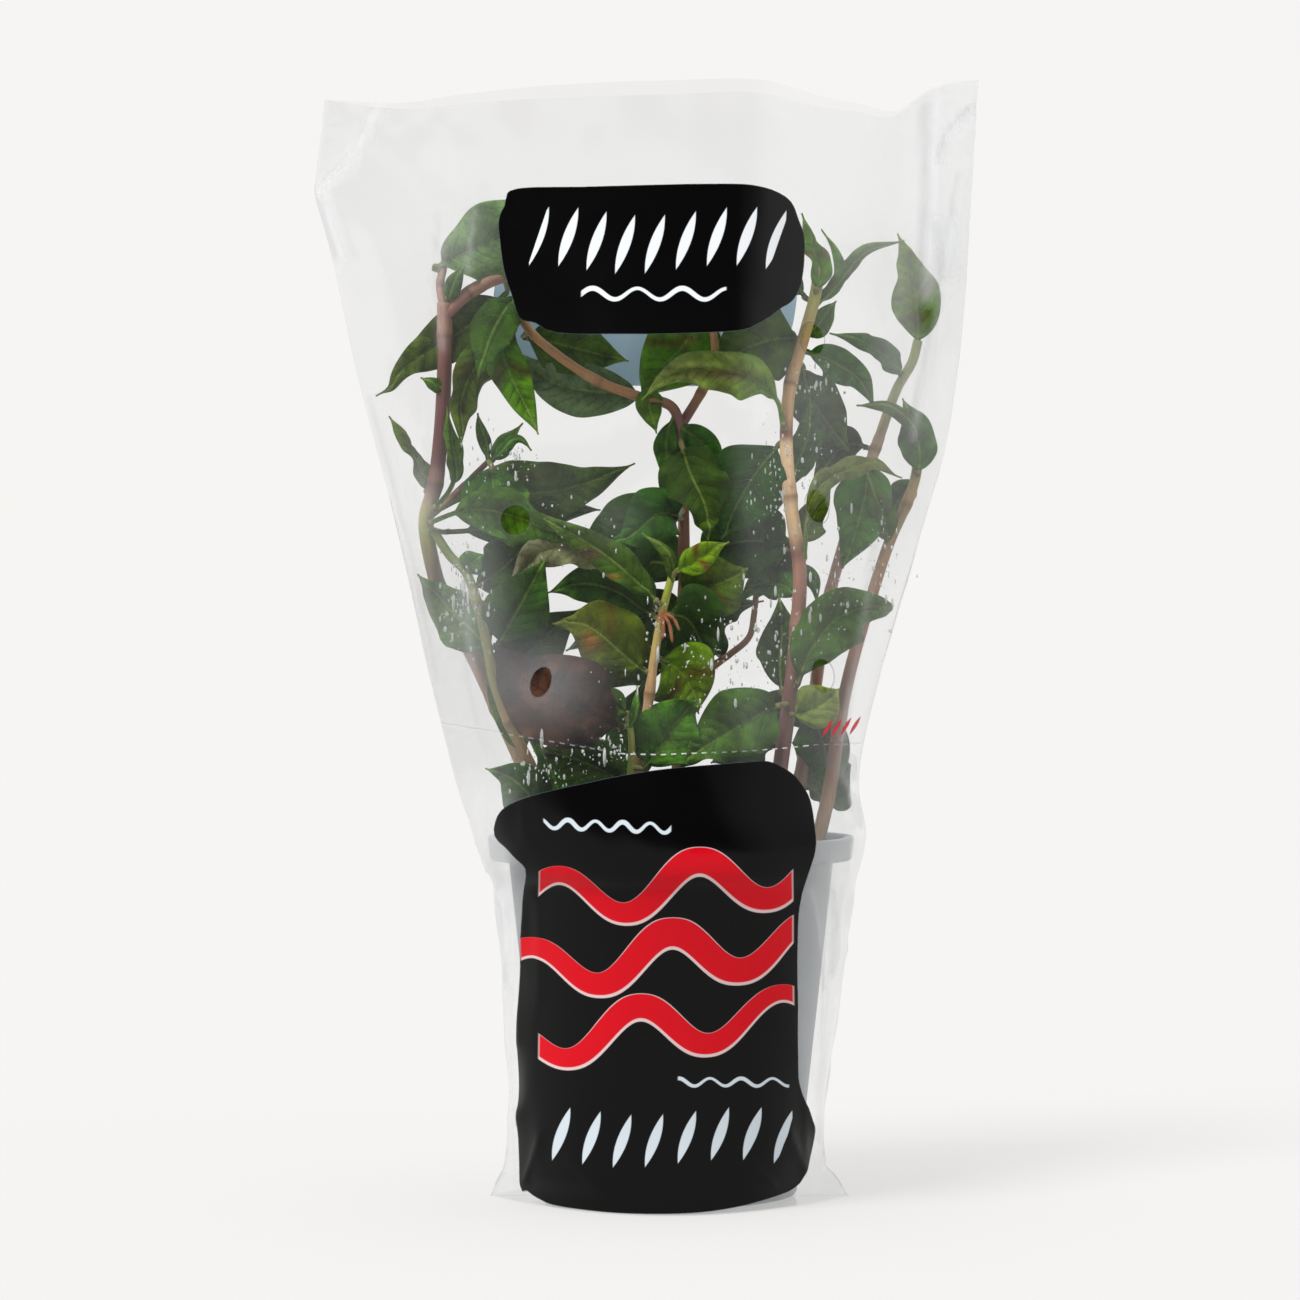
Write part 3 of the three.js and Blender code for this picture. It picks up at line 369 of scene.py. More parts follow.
class Paint:
    """The nodes of a material, or of a world, under construction."""

    def __init__(self, name, world=None):
        self.owner = world or bpy.data.materials.new(name)
        self.owner.use_nodes = True
        self.tree = self.owner.node_tree
        self.tree.nodes.clear()

    def node(self, kind, settings=None, inputs=None, output=0):
        """Adds a node: its kind, its settings, then the values or wires of its sockets."""
        made = self.tree.nodes.new(kind)
        for key, value in (settings or {}).items():
            setattr(made, key, value)
        for key, value in (inputs or {}).items():
            if isinstance(value, Wire):
                self.tree.links.new(value.socket, made.inputs[key])
            else:
                made.inputs[key].default_value = value
        return Wire(self, made.outputs[output]) if output is not None else None

    def place(self):
        """Where a point lies, in metres."""
        return self.node("ShaderNodeTexCoord", output="Object")

    def number(self, name):
        """A plain attribute of the piece."""
        return self.node("ShaderNodeAttribute", {"attribute_name": name}, output="Fac")

    def colour(self, name):
        """A colour attribute of the piece."""
        return self.node("ShaderNodeAttribute", {"attribute_name": name}, output="Color")

    def map(self, name):
        """The two numbers of a UV map."""
        uv = self.node("ShaderNodeUVMap", {"uv_map": name})
        return [self.node("ShaderNodeSeparateXYZ", None, {0: uv}, output=k) for k in (0, 1)]

    def lumps(self, size, detail=3.0, stretch=(1, 1, 1)):
        """Noise from about 0.3 to 0.7 with lumps of this size, in millimetres."""
        where = self.node("ShaderNodeMapping", None, {"Vector": self.place(), "Scale": stretch})
        return self.node("ShaderNodeTexNoise", None,
                         {"Vector": where, "Scale": 1 / (size * MM), "Detail": detail})

    def blend(self, share, a, b):
        """The colour a where share is 0 and b where it is 1."""
        return self.node("ShaderNodeMix", {"data_type": "RGBA"}, {0: share, 6: a, 7: b}, output=2)

    def bump(self, height, distance, strength=1.0):
        return self.node("ShaderNodeBump", None,
                         {"Height": height, "Distance": distance * MM, "Strength": strength})

    def shader(self, colour, roughness, **more):
        inputs = {"Base Color": colour, "Roughness": roughness}
        inputs.update({key.replace("_", " "): value for key, value in more.items()})
        return self.node("ShaderNodeBsdfPrincipled", None, inputs)

    def mix(self, share, a, b):
        return self.node("ShaderNodeMixShader", None, {0: share, 1: a, 2: b})

    def finish(self, surface, kind="ShaderNodeOutputMaterial"):
        """Links the last shader to the output and hands over the material."""
        self.node(kind, None, {"Surface": surface}, output=None)
        return self.owner


def rgb(red, green, blue):
    """A shader colour from its 0 to 255 values on the screen."""
    linear = [c / 255 / 12.92 if c <= 10 else ((c / 255 + 0.055) / 1.055) ** 2.4 for c in (red, green, blue)]
    return (*linear, 1.0)


print("mid grey:", [round(c, 3) for c in rgb(128, 128, 128)])

# %% [markdown]
# ## Paths of stems and leaves
# A stem or the midrib of a leaf runs through a few measured points. A Catmull-Rom curve passes through
# every one of them, and its centripetal kind makes no loops where two points lie close together. The
# curve is then walked in equal steps, with a direction at each step.

# %% Curves


def walk(points, count, per_span=40):
    """Equal steps along a centripetal Catmull-Rom curve: their places, directions and the share of the
    length at which each given point lies."""
    ends = [2 * points[0] - points[1], *points, 2 * points[-1] - points[-2]]
    fine = []
    for p0, p1, p2, p3 in zip(ends, ends[1:], ends[2:], ends[3:]):
        d0, d1, d2 = (max(np.linalg.norm(b - a) ** 0.5, 1e-4) for a, b in ((p0, p1), (p1, p2), (p2, p3)))
        out = ((p1 - p0) / d0 - (p2 - p0) / (d0 + d1) + (p2 - p1) / d1) * d1
        back = ((p2 - p1) / d1 - (p3 - p1) / (d1 + d2) + (p3 - p2) / d2) * d1
        fine.append(spans(p1, p2, out, back, per_span))
    fine = np.concatenate([*fine, points[-1][None]])
    gone = np.concatenate([[0], np.cumsum(np.linalg.norm(np.diff(fine, axis=0), axis=1))])
    steps = np.linspace(0, gone[-1], count)
    places = np.stack([np.interp(steps, gone, fine[:, k]) for k in range(3)], -1)
    ahead = np.gradient(places, axis=0)
    ahead /= np.linalg.norm(ahead, axis=1)[:, None]
    return places, ahead, gone[::per_span] / gone[-1], gone[-1]


def unit(v):
    """Vectors brought to length one."""
    return v / np.linalg.norm(v, axis=-1)[..., None]


print("length of an arc:", round(walk(np.array([(0, 0, 0), (5, 0, 5), (10, 0, 0)], float), 9)[3], 2), "mm")

# %% [markdown]
# ## The shape of a leaf
# Vietnamese mint has lance-shaped leaves: a short stalk, the widest place two fifths up and a long
# drawn-out tip. A blade is a closed thin skin. Each ring of it runs over the upper face from one margin
# to the other and back under the lower face. The two halves rise from the midrib like a shallow roof
# turned over, the margins wave, the midrib stands out below as a keel, and the blade is quilted between
# its side veins, which leave the midrib slanting and bend towards the tip.

# %% Leaf blades
BLADE = dict(thickness=0.3, stalk=1.5, tip=0.5, margin=0.9)
VEIN_STEP, VEIN_SLANT, VEIN_BEND = 3.4, 0.6, 0.045


def vein_phase(along, off):
    """Counts the side veins: whole on a vein. along and off are millimetres on the blade."""
    return (along - VEIN_SLANT * abs(off) - VEIN_BEND * off * off) / VEIN_STEP


def blade_half(t, width, stalk, a, b):
    """Half width at shares t of the length. The outline is s^a (1-s)^b past the stalk."""
    s = np.clip((t - stalk) / (1 - stalk), 0, 1)
    peak = a / (a + b)
    shape = s ** a * (1 - s) ** b / (peak ** a * (1 - peak) ** b)
    ends = BLADE["stalk"] + (BLADE["tip"] - BLADE["stalk"]) * s
    return np.maximum(width * shape, ends) / 2


def blade(path, width, roll=0, fold=15, stalk=0.06, seed=0, rows=68, columns=21):
    """Rings of a leaf, with the place of each point on the blade in millimetres along and across, and
    how far it is to the upper (1) or lower (-1) face.

    point = rib + across * side * half * cos(fold) + face * (|side| * half * tan(lean) + relief)
    """
    rng = np.random.default_rng(seed)
    rib, ahead, _, length = walk(place(path), rows)
    t = np.linspace(0, 1, rows)
    across = unit(np.cross([0, -1, 0], ahead))
    turn = np.radians(roll + rng.uniform(-44, 44) * (t - 0.25))[:, None]
    across = across * np.cos(turn) + np.cross(ahead, across) * np.sin(turn)
    face = unit(np.cross(ahead, across))
    curl = ease((t - 0.6) / 0.4) ** 2
    arch = rng.uniform(-0.08, 0.08) * np.sin(math.pi * t) + rng.uniform(-0.12, 0.12) * curl
    sway = rng.uniform(-0.03, 0.03) * np.sin(2 * math.pi * t) + rng.uniform(-0.035, 0.035) * curl
    rib = rib + length * (arch[:, None] * face + sway[:, None] * across)
    half = blade_half(t, width, stalk, rng.uniform(0.65, 0.9), rng.uniform(1.2, 1.55))
    side = np.sin(np.linspace(math.pi / 2, -math.pi / 2, columns))
    side = 0.6 * side + 0.4 * np.linspace(1, -1, columns)
    side = np.concatenate([side, side[::-1]])[None, :]
    upper = np.repeat([1.0, -1.0], columns)[None, :]
    bulge = rng.uniform(0, 40)
    uneven = 1 + 0.22 * (noise(4.5 * t[:, None] + bulge, 2 * side + 50, seed + 60) - 0.5)
    off = side * half[:, None] * uneven
    along = t[:, None] * length + 0 * off
    wide = ease((half[:, None] - 1.2) / 2.5)

    fold = math.radians(fold)
    steeper = rng.uniform(2, 16) + rng.uniform(-12, 12) * np.sin(5 * t + bulge)
    lean = np.clip(fold + np.radians(steeper), 0, 0.9)
    rise = np.abs(off) * math.cos(fold) * np.tan(lean)[:, None] * (1 - 0.6 * side ** 2)
    waves = rng.uniform(1.5, 3.0, 2) * length / 34
    start = rng.uniform(0, 6.28, 2)
    left = np.sin(2 * math.pi * waves[0] * t[:, None] + start[0])
    right = np.sin(2 * math.pi * waves[1] * t[:, None] + start[1])
    margin_wave = np.where(side > 0, left, right) * side ** 2 * min(width / 13, 1.5) * rng.uniform(1.0, 2.2)
    margin_wave = margin_wave + 0.4 * side ** 4 * np.sin(2 * math.pi * along / 6.5 + start[0] + side)
    phase = vein_phase(along, off)
    quilt = 0.6 * np.abs(np.sin(math.pi * phase)) * ease(np.abs(off) / 1.6) * (1 - side ** 4)
    keel = np.exp(-(off / 0.75) ** 2)
    relief = rise + wide * (margin_wave + quilt - np.where(upper > 0, 0.4, 0.6) * keel)
    thick = BLADE["thickness"] / 2 * (1 - 0.6 * side ** 6)
    stem_round = np.sqrt(np.clip(1 - side ** 2, 0, 1)) * half[:, None]
    thick = wide * thick + (1 - wide) * np.maximum(stem_round, 0.12)

    cross = (off * math.cos(fold))[..., None] * across[:, None, :]
    points = rib[:, None, :] + cross + (relief + upper * thick)[..., None] * face[:, None, :]
    pressed = keep_inside(points, BLADE["margin"])
    return pressed, along, off, upper + 0 * off, t[:, None] + 0 * off


print("rings of a leaf:", blade([(0, 200, 0), (0, 220, 0), (0, 240, 0)], 12)[0].shape)

# %% [markdown]
# ## The colours of a leaf
# The green goes from the midrib outwards and from the base to the tip. Many leaves of this herb carry
# a dark chevron across the middle, and a few have brown marks, pale strips or a shaded half. A few
# marks are painted light and shade instead: a shadow band, a band of shade under an arching leaf and a
# glow where light shines through a blade. The leaves deep inside the plant get a darker green as
# painted shade. All of this is worked out for each point and stored as its colour. The veins are
# finer, so the material draws them.

# %% Leaf colours
#                base            tip             chevron, strength
LOOKS = {
    "hazy": ((100, 136, 52), (122, 152, 80), (74, 86, 44), 0.3),
    "fresh": ((62, 102, 12), (76, 118, 20), (38, 46, 6), 0.5),
    "lime": ((82, 128, 0), (104, 146, 2), (88, 42, 8), 0.75),
    "olive": ((66, 90, 6), (86, 102, 14), (84, 48, 12), 0.5),
    "underside": ((90, 132, 58), (110, 148, 80), (78, 98, 54), 0.2),
    "arching": ((112, 152, 66), (124, 146, 84), (112, 90, 60), 0.25),
    # dark: a deeper green, kept darker as painted shade for the leaves deep inside the plant
    "dark": ((40, 74, 4), (54, 92, 8), (26, 36, 2), 0.5),
    "pale": ((104, 138, 66), (126, 152, 90), (90, 106, 54), 0.2),
    "young": ((106, 146, 8), (126, 160, 20), (112, 50, 24), 0.85),
    "withered": ((40, 24, 16), (58, 38, 28), (44, 26, 18), 0.0),
}
PURPLE, BROWN, STRIPE = (96, 52, 66), (122, 72, 40), (158, 176, 120)
print("looks of leaves:", ", ".join(LOOKS))

# %% Marks on single leaves
# Across and up of the middle as seen, reach in both, colour and strength. A few marks are painted light and
# shade.
MARKS = {
    "hanging_front": [(-50.5, 248, 2.5, 1.5, PURPLE, 0.7), (-46.5, 249.5, 2, 1.5, PURPLE, 0.6)],
    "tailed_left": [(-72, 244, 1.2, 6, (46, 62, 30), 0.6)],
    "bright_middle": [(5, 248.5, 3.4, 1.8, BROWN, 0.7)],
    # arching: the purple band is partly its underside's colour and partly painted shade beneath the arch
    "arching": [(15, 238.4, 9, 1.2, PURPLE, 0.6), (6, 241, 10, 0.8, STRIPE, 0.8)],
    # right_big: the bright green patch is painted light shining through the blade from behind
    "right_big": [(71, 254.5, 3.5, 1.6, PURPLE, 0.8), (77, 256, 3, 6, (110, 160, 10), 0.8),
                  (67, 264, 6, 11, (150, 178, 96), 0.8)],
    "right_hazy": [(43, 225, 5, 1.2, (56, 70, 44), 0.6)],
    "right_edge": [(69.5, 218, 1.6, 4.5, (60, 60, 44), 0.7)],
    # right_low: the dark band is a painted shadow
    "right_low": [(52, 170.3, 8, 0.9, (52, 72, 40), 0.6)],
    "left_long": [(-40, 209, 9, 1.6, (110, 90, 60), 0.35)],
    "front_long": [(-24, 186.5, 3.4, 1.6, PURPLE, 0.75), (-17, 179.6, 2.6, 0.8, (170, 120, 50), 0.7)],
    "middle_olive": [(-23.5, 161, 2.4, 2.4, (158, 96, 40), 0.8)],
    "low_centre": [(-2, 131, 2, 4, STRIPE, 0.4)],
}
print("leaves with marks:", len(MARKS))

# %% The colour of each point of a leaf


def leaf_tones(name, look, rings, along, off, upper, t):
    """The colour of every point, from its place on the blade and its place as seen."""
    base, tip, chevron, strength = (np.array(c, float) for c in LOOKS[look])
    tone = towards(base, tip, ease(t))
    middle = 0.42 + 0.02 * np.abs(off)
    mark = np.exp(-((t - middle) / 0.055) ** 2) * ease(np.abs(off) / 1.5) * strength
    tone = towards(tone, chevron, 0.75 * mark)
    across, up = seen(rings)
    for x, z, reach_x, reach_z, colour, amount in MARKS.get(name, ()):
        tone = towards(tone, colour, amount * spot(across, up, x, z, reach_x, reach_z))
    seed = sum(map(ord, name)) + 7
    tint = np.random.default_rng(seed).uniform([0.84, 0.9, 0.6], [1.16, 1.1, 1.3])
    tone = tone if look in ("withered", "young") else tone * tint
    mottle = 0.86 + 0.2 * noise(along / 2.6 + seed, off / 2.2 + 9, seed) + 0.08 * noise(along, off, seed + 1)
    if look == "withered":
        patch = ease((noise(along / 7, off / 3.4 + 30, 5) - 0.34) / 0.3)
        tone = towards(tone, (96, 60, 42), 0.6 * patch)
        dark = ease((noise(along / 3.4 + 9, off / 5 + 4, 8) - 0.5) / 0.24)
        mottle = mottle * (1.08 - 0.62 * dark)
    below = (upper < 0)[..., None]
    under = tone * 0.7 + np.array([104, 130, 70]) * 0.3
    tone = np.where(below & (look != "withered"), under, tone) * mottle[..., None]
    return linear(tone)


def linear(tone):
    """Screen values from 0 to 255 as amounts of light."""
    s = np.clip(tone, 0, 255) / 255
    return np.where(s <= 0.04045, s / 12.92, ((s + 0.055) / 1.055) ** 2.4)


print("a fresh leaf's base as light:", linear(np.array(LOOKS["fresh"][0])).round(3))

# %% A leaf from its row in the list


def leaf(look, width, path, **more):
    """A row of the lists of leaves."""
    return dict(look=look, width=width, path=path, **more)


def add_leaf(pile, name, look, seed, **shape):
    """Adds the skin of one leaf to a pile. A withered leaf is shrivelled as well."""
    rings, along, off, upper, t = blade(seed=seed, **shape)
    if look == "withered":
        shrivel = noise(along / 6, off / 5 + 20, 3) + 0.25 * noise(along / 2.4, off / 2.4, 4) - 0.62
        rings = keep_inside(rings + np.stack([0 * off, 3.0 * shrivel, 0 * off], -1), BLADE["margin"])
    tones = leaf_tones(name, look, rings, along, off, upper, t)
    blade_map = with_caps(np.stack([along, off], -1))
    points, faces = skin(rings)
    pile.add(points, faces, tone=with_caps(tones), blade=blade_map)


print("a leaf:", leaf("fresh", 12, [(0, 200, 0), (0, 240, 0)], roll=20))

# %% The leaf's material


def leaf_material(name, withered=False):
    """Veins drawn on the blade: a pale midrib and fine side veins that fade towards the margin. A thin
    blade lets some light through, so part of it is translucent."""
    paint = Paint(name)
    along, off = paint.map("blade")
    reach = abs(off)
    phase = (along - VEIN_SLANT * reach - VEIN_BEND * off * off) / VEIN_STEP
    from_vein = abs(phase.wrapped() - 0.5)
    vein = from_vein.step(0.42, 0.5) * reach.step(7.5, 1.0)
    rib = reach.step(0.55, 0.2)
    fine = paint.lumps(0.9, 2)
    coarse = paint.lumps(3.2, 3)
    tone = paint.colour("tone")
    pale = paint.blend(0.55, tone, rgb(150, 172, 84) if not withered else rgb(60, 42, 34))
    tone = paint.blend(vein * 0.34, tone, pale)
    tone = paint.blend(rib * 0.75, tone, pale)
    shade = rgb(52, 34, 26) if withered else rgb(14, 32, 0)
    tone = paint.blend((fine - 0.5) * 0.6 + (coarse - 0.5) * 1.4 + 0.14, tone, shade)
    rough = 0.4 + fine * 0.24 + vein * 0.06 if not withered else 0.6 + fine * 0.3
    height = vein * -0.6 + fine * 0.6 + coarse * 0.8 - rib * 0.4
    bump = paint.bump(height, 0.65, 0.8)
    surface = paint.shader(tone, rough, Normal=bump, Specular_IOR_Level=0.22)
    through_light = paint.node("ShaderNodeBsdfTranslucent", None, {"Color": tone, "Normal": bump})
    return paint.finish(paint.mix(0.08 if withered else 0.2, surface, through_light))


leaf_green = leaf_material("leaf")
leaf_brown = leaf_material("withered leaf", withered=True)
print("leaf material:", len(leaf_green.node_tree.nodes), "nodes")

# %% [markdown]
# ## Every leaf in its place
# The list gives each leaf its looks, its width, the run of its midrib from the stalk to the tip as
# across, up and depth, and how far it is turned about the midrib and folded along it.

# %% The leaves
LEAVES = {
    "top_left": leaf("hazy", 22, [
        (-69, 269, -1), (-60, 275, -2), (-46, 278.6, -2), (-27, 280, -2),
    ], fold=10),
    "tailed_left": leaf("fresh", 16, [
        (-47.5, 262, 3), (-56, 256, 5), (-68, 245.4, 5), (-77.5, 237.5, 3), (-80.5, 233.6, 2),
        (-84.5, 231.8, 1),
    ], fold=10),
    "hanging_front": leaf("lime", 12.5, [
        (-47.5, 257, -9), (-48.4, 247, -12), (-45.6, 234.4, -13), (-38.8, 220.4, -13),
    ], roll=12, fold=22),
    "curled_left": leaf("olive", 13, [
        (-48.5, 256, -7), (-53, 246, -9), (-58.5, 236, -9), (-60.6, 227, -8), (-61.6, 217.5, -6),
    ], roll=-12, fold=20),
    "narrow_left": leaf("fresh", 6.5, [
        (-69, 199, -4), (-64, 207, -5), (-62.6, 214, -6), (-64.6, 221, -6), (-67.5, 227.6, -6),
    ], roll=25, stalk=0.3),
    "upright_left": leaf("fresh", 7.5, [(-70.5, 203.5, 1), (-75, 213, 0), (-82.2, 226, 0)], roll=50),
    "under_label_left": leaf("fresh", 18, [
        (-43, 249, -4), (-33, 247.4, -3), (-23, 244.4, -2), (-12.6, 241, -2),
    ], fold=12),
    "under_branch": leaf("underside", 15, [
        (-6.5, 231.6, -1), (-20, 232.6, 1), (-33, 236, 2), (-44.4, 244, 2),
    ], roll=-10, fold=8),
    "bright_middle": leaf("lime", 24, [
        (9.6, 259, 5), (4.5, 249, 7), (-2.5, 239.5, 6), (-9.4, 231.2, 5),
    ], fold=8),
    "arching": leaf("arching", 15, [
        (32.6, 223, -12), (31, 231, -14), (22, 238, -15), (8, 239.4, -14), (-2, 236.6, -13),
        (-9, 231.4, -12),
    ], roll=-25, fold=30, stalk=0.16),
    "right_top": leaf("lime", 8, [
        (42, 262, -7), (43, 270, -7), (40.8, 278, -6), (36.4, 284, -5),
    ], roll=30, fold=20),
    "behind_label_right": leaf("dark", 14, [(39.5, 260, -2), (32, 266, 0), (23, 271, 0), (11, 274, 0)]),
    "behind_label_left": leaf("dark", 15, [(8, 264, 6), (-2, 268.5, 7), (-14, 271, 7), (-26, 271.5, 7)]),
    "pale_right": leaf("fresh", 24, [
        (37.4, 248.8, -2), (30, 247.8, -2), (21, 245.2, -3), (13.4, 239.2, -5),
    ], fold=8),
    "right_big": leaf("lime", 15, [
        (71.5, 246, 0), (72.4, 254, -1), (70.2, 264.5, -1), (65.2, 279, -1),
    ], fold=16),
    "right_spoon": leaf("fresh", 10, [
        (38.6, 245, -6), (45.6, 243.4, -7), (53.2, 237.4, -6), (59, 227.6, -4),
    ], fold=8),
    "right_hazy": leaf("fresh", 16, [
        (38, 241, -3), (40.6, 232.6, 1), (45.4, 224, 3), (53, 213.4, 4),
    ], fold=10),
    "right_edge": leaf("fresh", 12, [
        (71.6, 209, -2), (72, 214, -3), (71.4, 222, -3), (66.6, 231, -2),
    ], fold=10),
    "right_dark": leaf("dark", 15, [(57, 217, 5), (52, 217.4, 8), (46, 213.6, 9), (40.6, 206, 8)], fold=8),
    "right_front": leaf("pale", 7.5, [
        (38.6, 184.5, -11), (39.2, 196, -14), (43.6, 205, -15), (53, 208.6, -13), (68, 210.6, -6),
    ], roll=-25, fold=25, stalk=0.22),
    "right_hanging": leaf("fresh", 18, [
        (57.5, 213.5, 1), (56.4, 204.5, 0), (54, 194, -1), (51, 182.4, -1),
    ], fold=12),
    "right_low": leaf("fresh", 18, [
        (36.6, 148, -11), (38.8, 157.4, -12), (46, 166, -11), (55, 169.4, -8), (65, 170.8, -4),
    ], fold=10),
    "left_long": leaf("fresh", 19, [
        (-69, 198, 4), (-58, 202.6, 7), (-42, 203.8, 6), (-27, 207, 5), (-11.2, 213.6, 4),
    ], fold=8, stalk=0.14),
    "left_second": leaf("dark", 13, [
        (-65.5, 192.5, 3), (-50, 195.4, 11), (-36, 197.4, 11), (-21, 197.6, 9),
    ], stalk=0.14),
    "left_round": leaf("fresh", 20, [
        (-52, 211.5, -5), (-51, 203, -8), (-46, 195, -9), (-38.6, 190, -9),
    ], fold=8),
    "front_long": leaf("fresh", 11, [
        (-3.6, 172, -25), (-12, 180.4, -26), (-22, 188.4, -24), (-32, 194, -22), (-44.4, 198.2, -19),
    ], roll=12, fold=25),
    "left_stalked": leaf("fresh", 16, [
        (-70.5, 195, -4), (-59, 197.6, -10), (-47, 196.6, -15), (-36, 193, -17), (-24.4, 186.6, -17),
    ], roll=25, fold=15, stalk=0.18),
    "middle_left": leaf("dark", 21, [
        (1.4, 196.4, -1), (-6.4, 195, -4), (-16.6, 190.4, -6), (-28, 186, -6),
    ], fold=8),
    "middle_hazy": leaf("dark", 17, [
        (1.6, 197, -5), (-4, 196.6, -12), (-10.6, 192.6, -15), (-18.4, 187, -16),
    ], fold=12),
    "middle_dark": leaf("dark", 20, [
        (3.2, 217.4, -5), (6.4, 208.6, -10), (9.4, 200.4, -13), (11.4, 190, -14),
    ], fold=10),
    "middle_right": leaf("dark", 23, [
        (31.8, 218.4, -8), (26.4, 212.4, -7), (20.6, 203, -6), (15, 190.4, -6),
    ], fold=8),
    "middle_wide": leaf("dark", 23, [
        (34.6, 187.4, -6), (26, 190, -1), (16.4, 189.4, 1), (6.6, 184.6, 2),
    ], fold=6),
    "young": leaf("young", 8.5, [(1.4, 181, -28), (8, 185, -30), (17, 189.6, -29)], fold=18),
    "left_dark": leaf("dark", 20, [
        (-50.5, 159.5, -12), (-46.6, 167, -13), (-41.4, 175, -14), (-35.8, 184.6, -13),
    ], fold=10),
    "left_light": leaf("pale", 12, [
        (-4.6, 170.5, -14), (-15, 180.4, -12), (-27, 187, -11), (-38.4, 185.4, -10),
        (-48.4, 171.6, -10),
    ], roll=25, fold=15, stalk=0.26),
    "middle_spiky": leaf("dark", 19, [
        (-4.8, 168, -20), (-14, 175, -14), (-25, 176.6, -11), (-35, 174.6, -9),
    ], fold=12),
    "left_low": leaf("fresh", 18, [
        (-52.4, 157, -12), (-57.4, 163.4, -8), (-64.6, 170.6, -4), (-72, 181, -3),
    ], fold=10),
    "left_lowest": leaf("fresh", 11, [
        (-42, 127, -12), (-45.4, 138.4, -6), (-50.6, 150, -3), (-57.4, 162, -1),
    ], fold=12),
    "rim_left": leaf("dark", 16, [
        (-37.6, 111, -16), (-41.6, 117, -20), (-47, 121.4, -19), (-53, 124.4, -16),
    ]),
    "rim_middle": leaf("dark", 18, [
        (-12.4, 119, -27), (-21, 123.6, -30), (-30, 127.6, -31), (-39, 129.6, -29),
    ]),
    "withered": leaf("withered", 27, [
        (-14, 136, -29), (-22, 138, -33), (-32, 143.6, -35), (-42, 150.4, -34), (-50, 158, -28),
    ], fold=4),
    "middle_olive": leaf("olive", 23, [
        (-7.4, 152, -22), (-14, 158, -20), (-23, 163.8, -19), (-34, 168, -18),
    ], fold=10),
    "middle_vivid": leaf("lime", 21, [
        (-3.6, 156, -20), (1.4, 153, -20), (6, 147.6, -19), (9, 140.4, -18),
    ], fold=10),
    "middle_shade": leaf("dark", 21, [
        (-0.6, 168.6, -19), (5, 166.4, -13), (9, 160.6, -10), (11, 152, -9),
    ], fold=10),
    "brownish": leaf("olive", 20, [(6, 172.6, -1), (13, 177.4, -8), (22, 182.6, -9)], fold=10),
    "by_right_stem": leaf("dark", 14, [
        (32.2, 146, -8), (32, 155.6, -4), (31.6, 164.6, -3), (31, 174.4, -3),
    ]),
    "low_right": leaf("fresh", 21, [
        (31.6, 142.4, -14), (23, 138.4, -20), (12, 132, -24), (1, 125.6, -26),
    ], fold=10),
    "low_centre": leaf("fresh", 22, [
        (-8, 124, -24), (-3, 131.4, -21), (2.4, 137.6, -20), (8.8, 143.4, -19),
    ]),
    "low_pale": leaf("pale", 14, [(35.6, 139.4, -12), (41, 141.4, -15), (49, 147, -14)]),
}

# %% Make the leaves
for number, (name, shape) in enumerate(LEAVES.items()):
    pile = Pile()
    add_leaf(pile, name, seed=number, **shape)
    ob = pile.mesh("blade_" + name)
    dead = name == "withered"
    finish_piece(ob, leaf_brown if dead else leaf_green, "withered" if dead else "leaf", "leaf_" + name)
print("leaves:", len(LEAVES))

# %% [markdown]
# ## Stems
# The stems of this herb are jointed like a thin cane. At each joint the stem swells and a papery sheath
# wraps the piece above, with a darker rim. Young stretches are yellow-green, older ones peach to
# red-brown, so the colour is given at a few heights as seen and blended between. The tiniest leaves sit
# on the stems and are made with them as a second mesh. Each larger leaf is joined to its stem by the
# root of its stalk.

# %% The stems


def twig(thick, thin, path, colours=None):
    """A branch of a stem, in the stem's own colours if none are given."""
    return dict(thick=thick, thin=thin, swell=1.1, path=path, colours=colours)


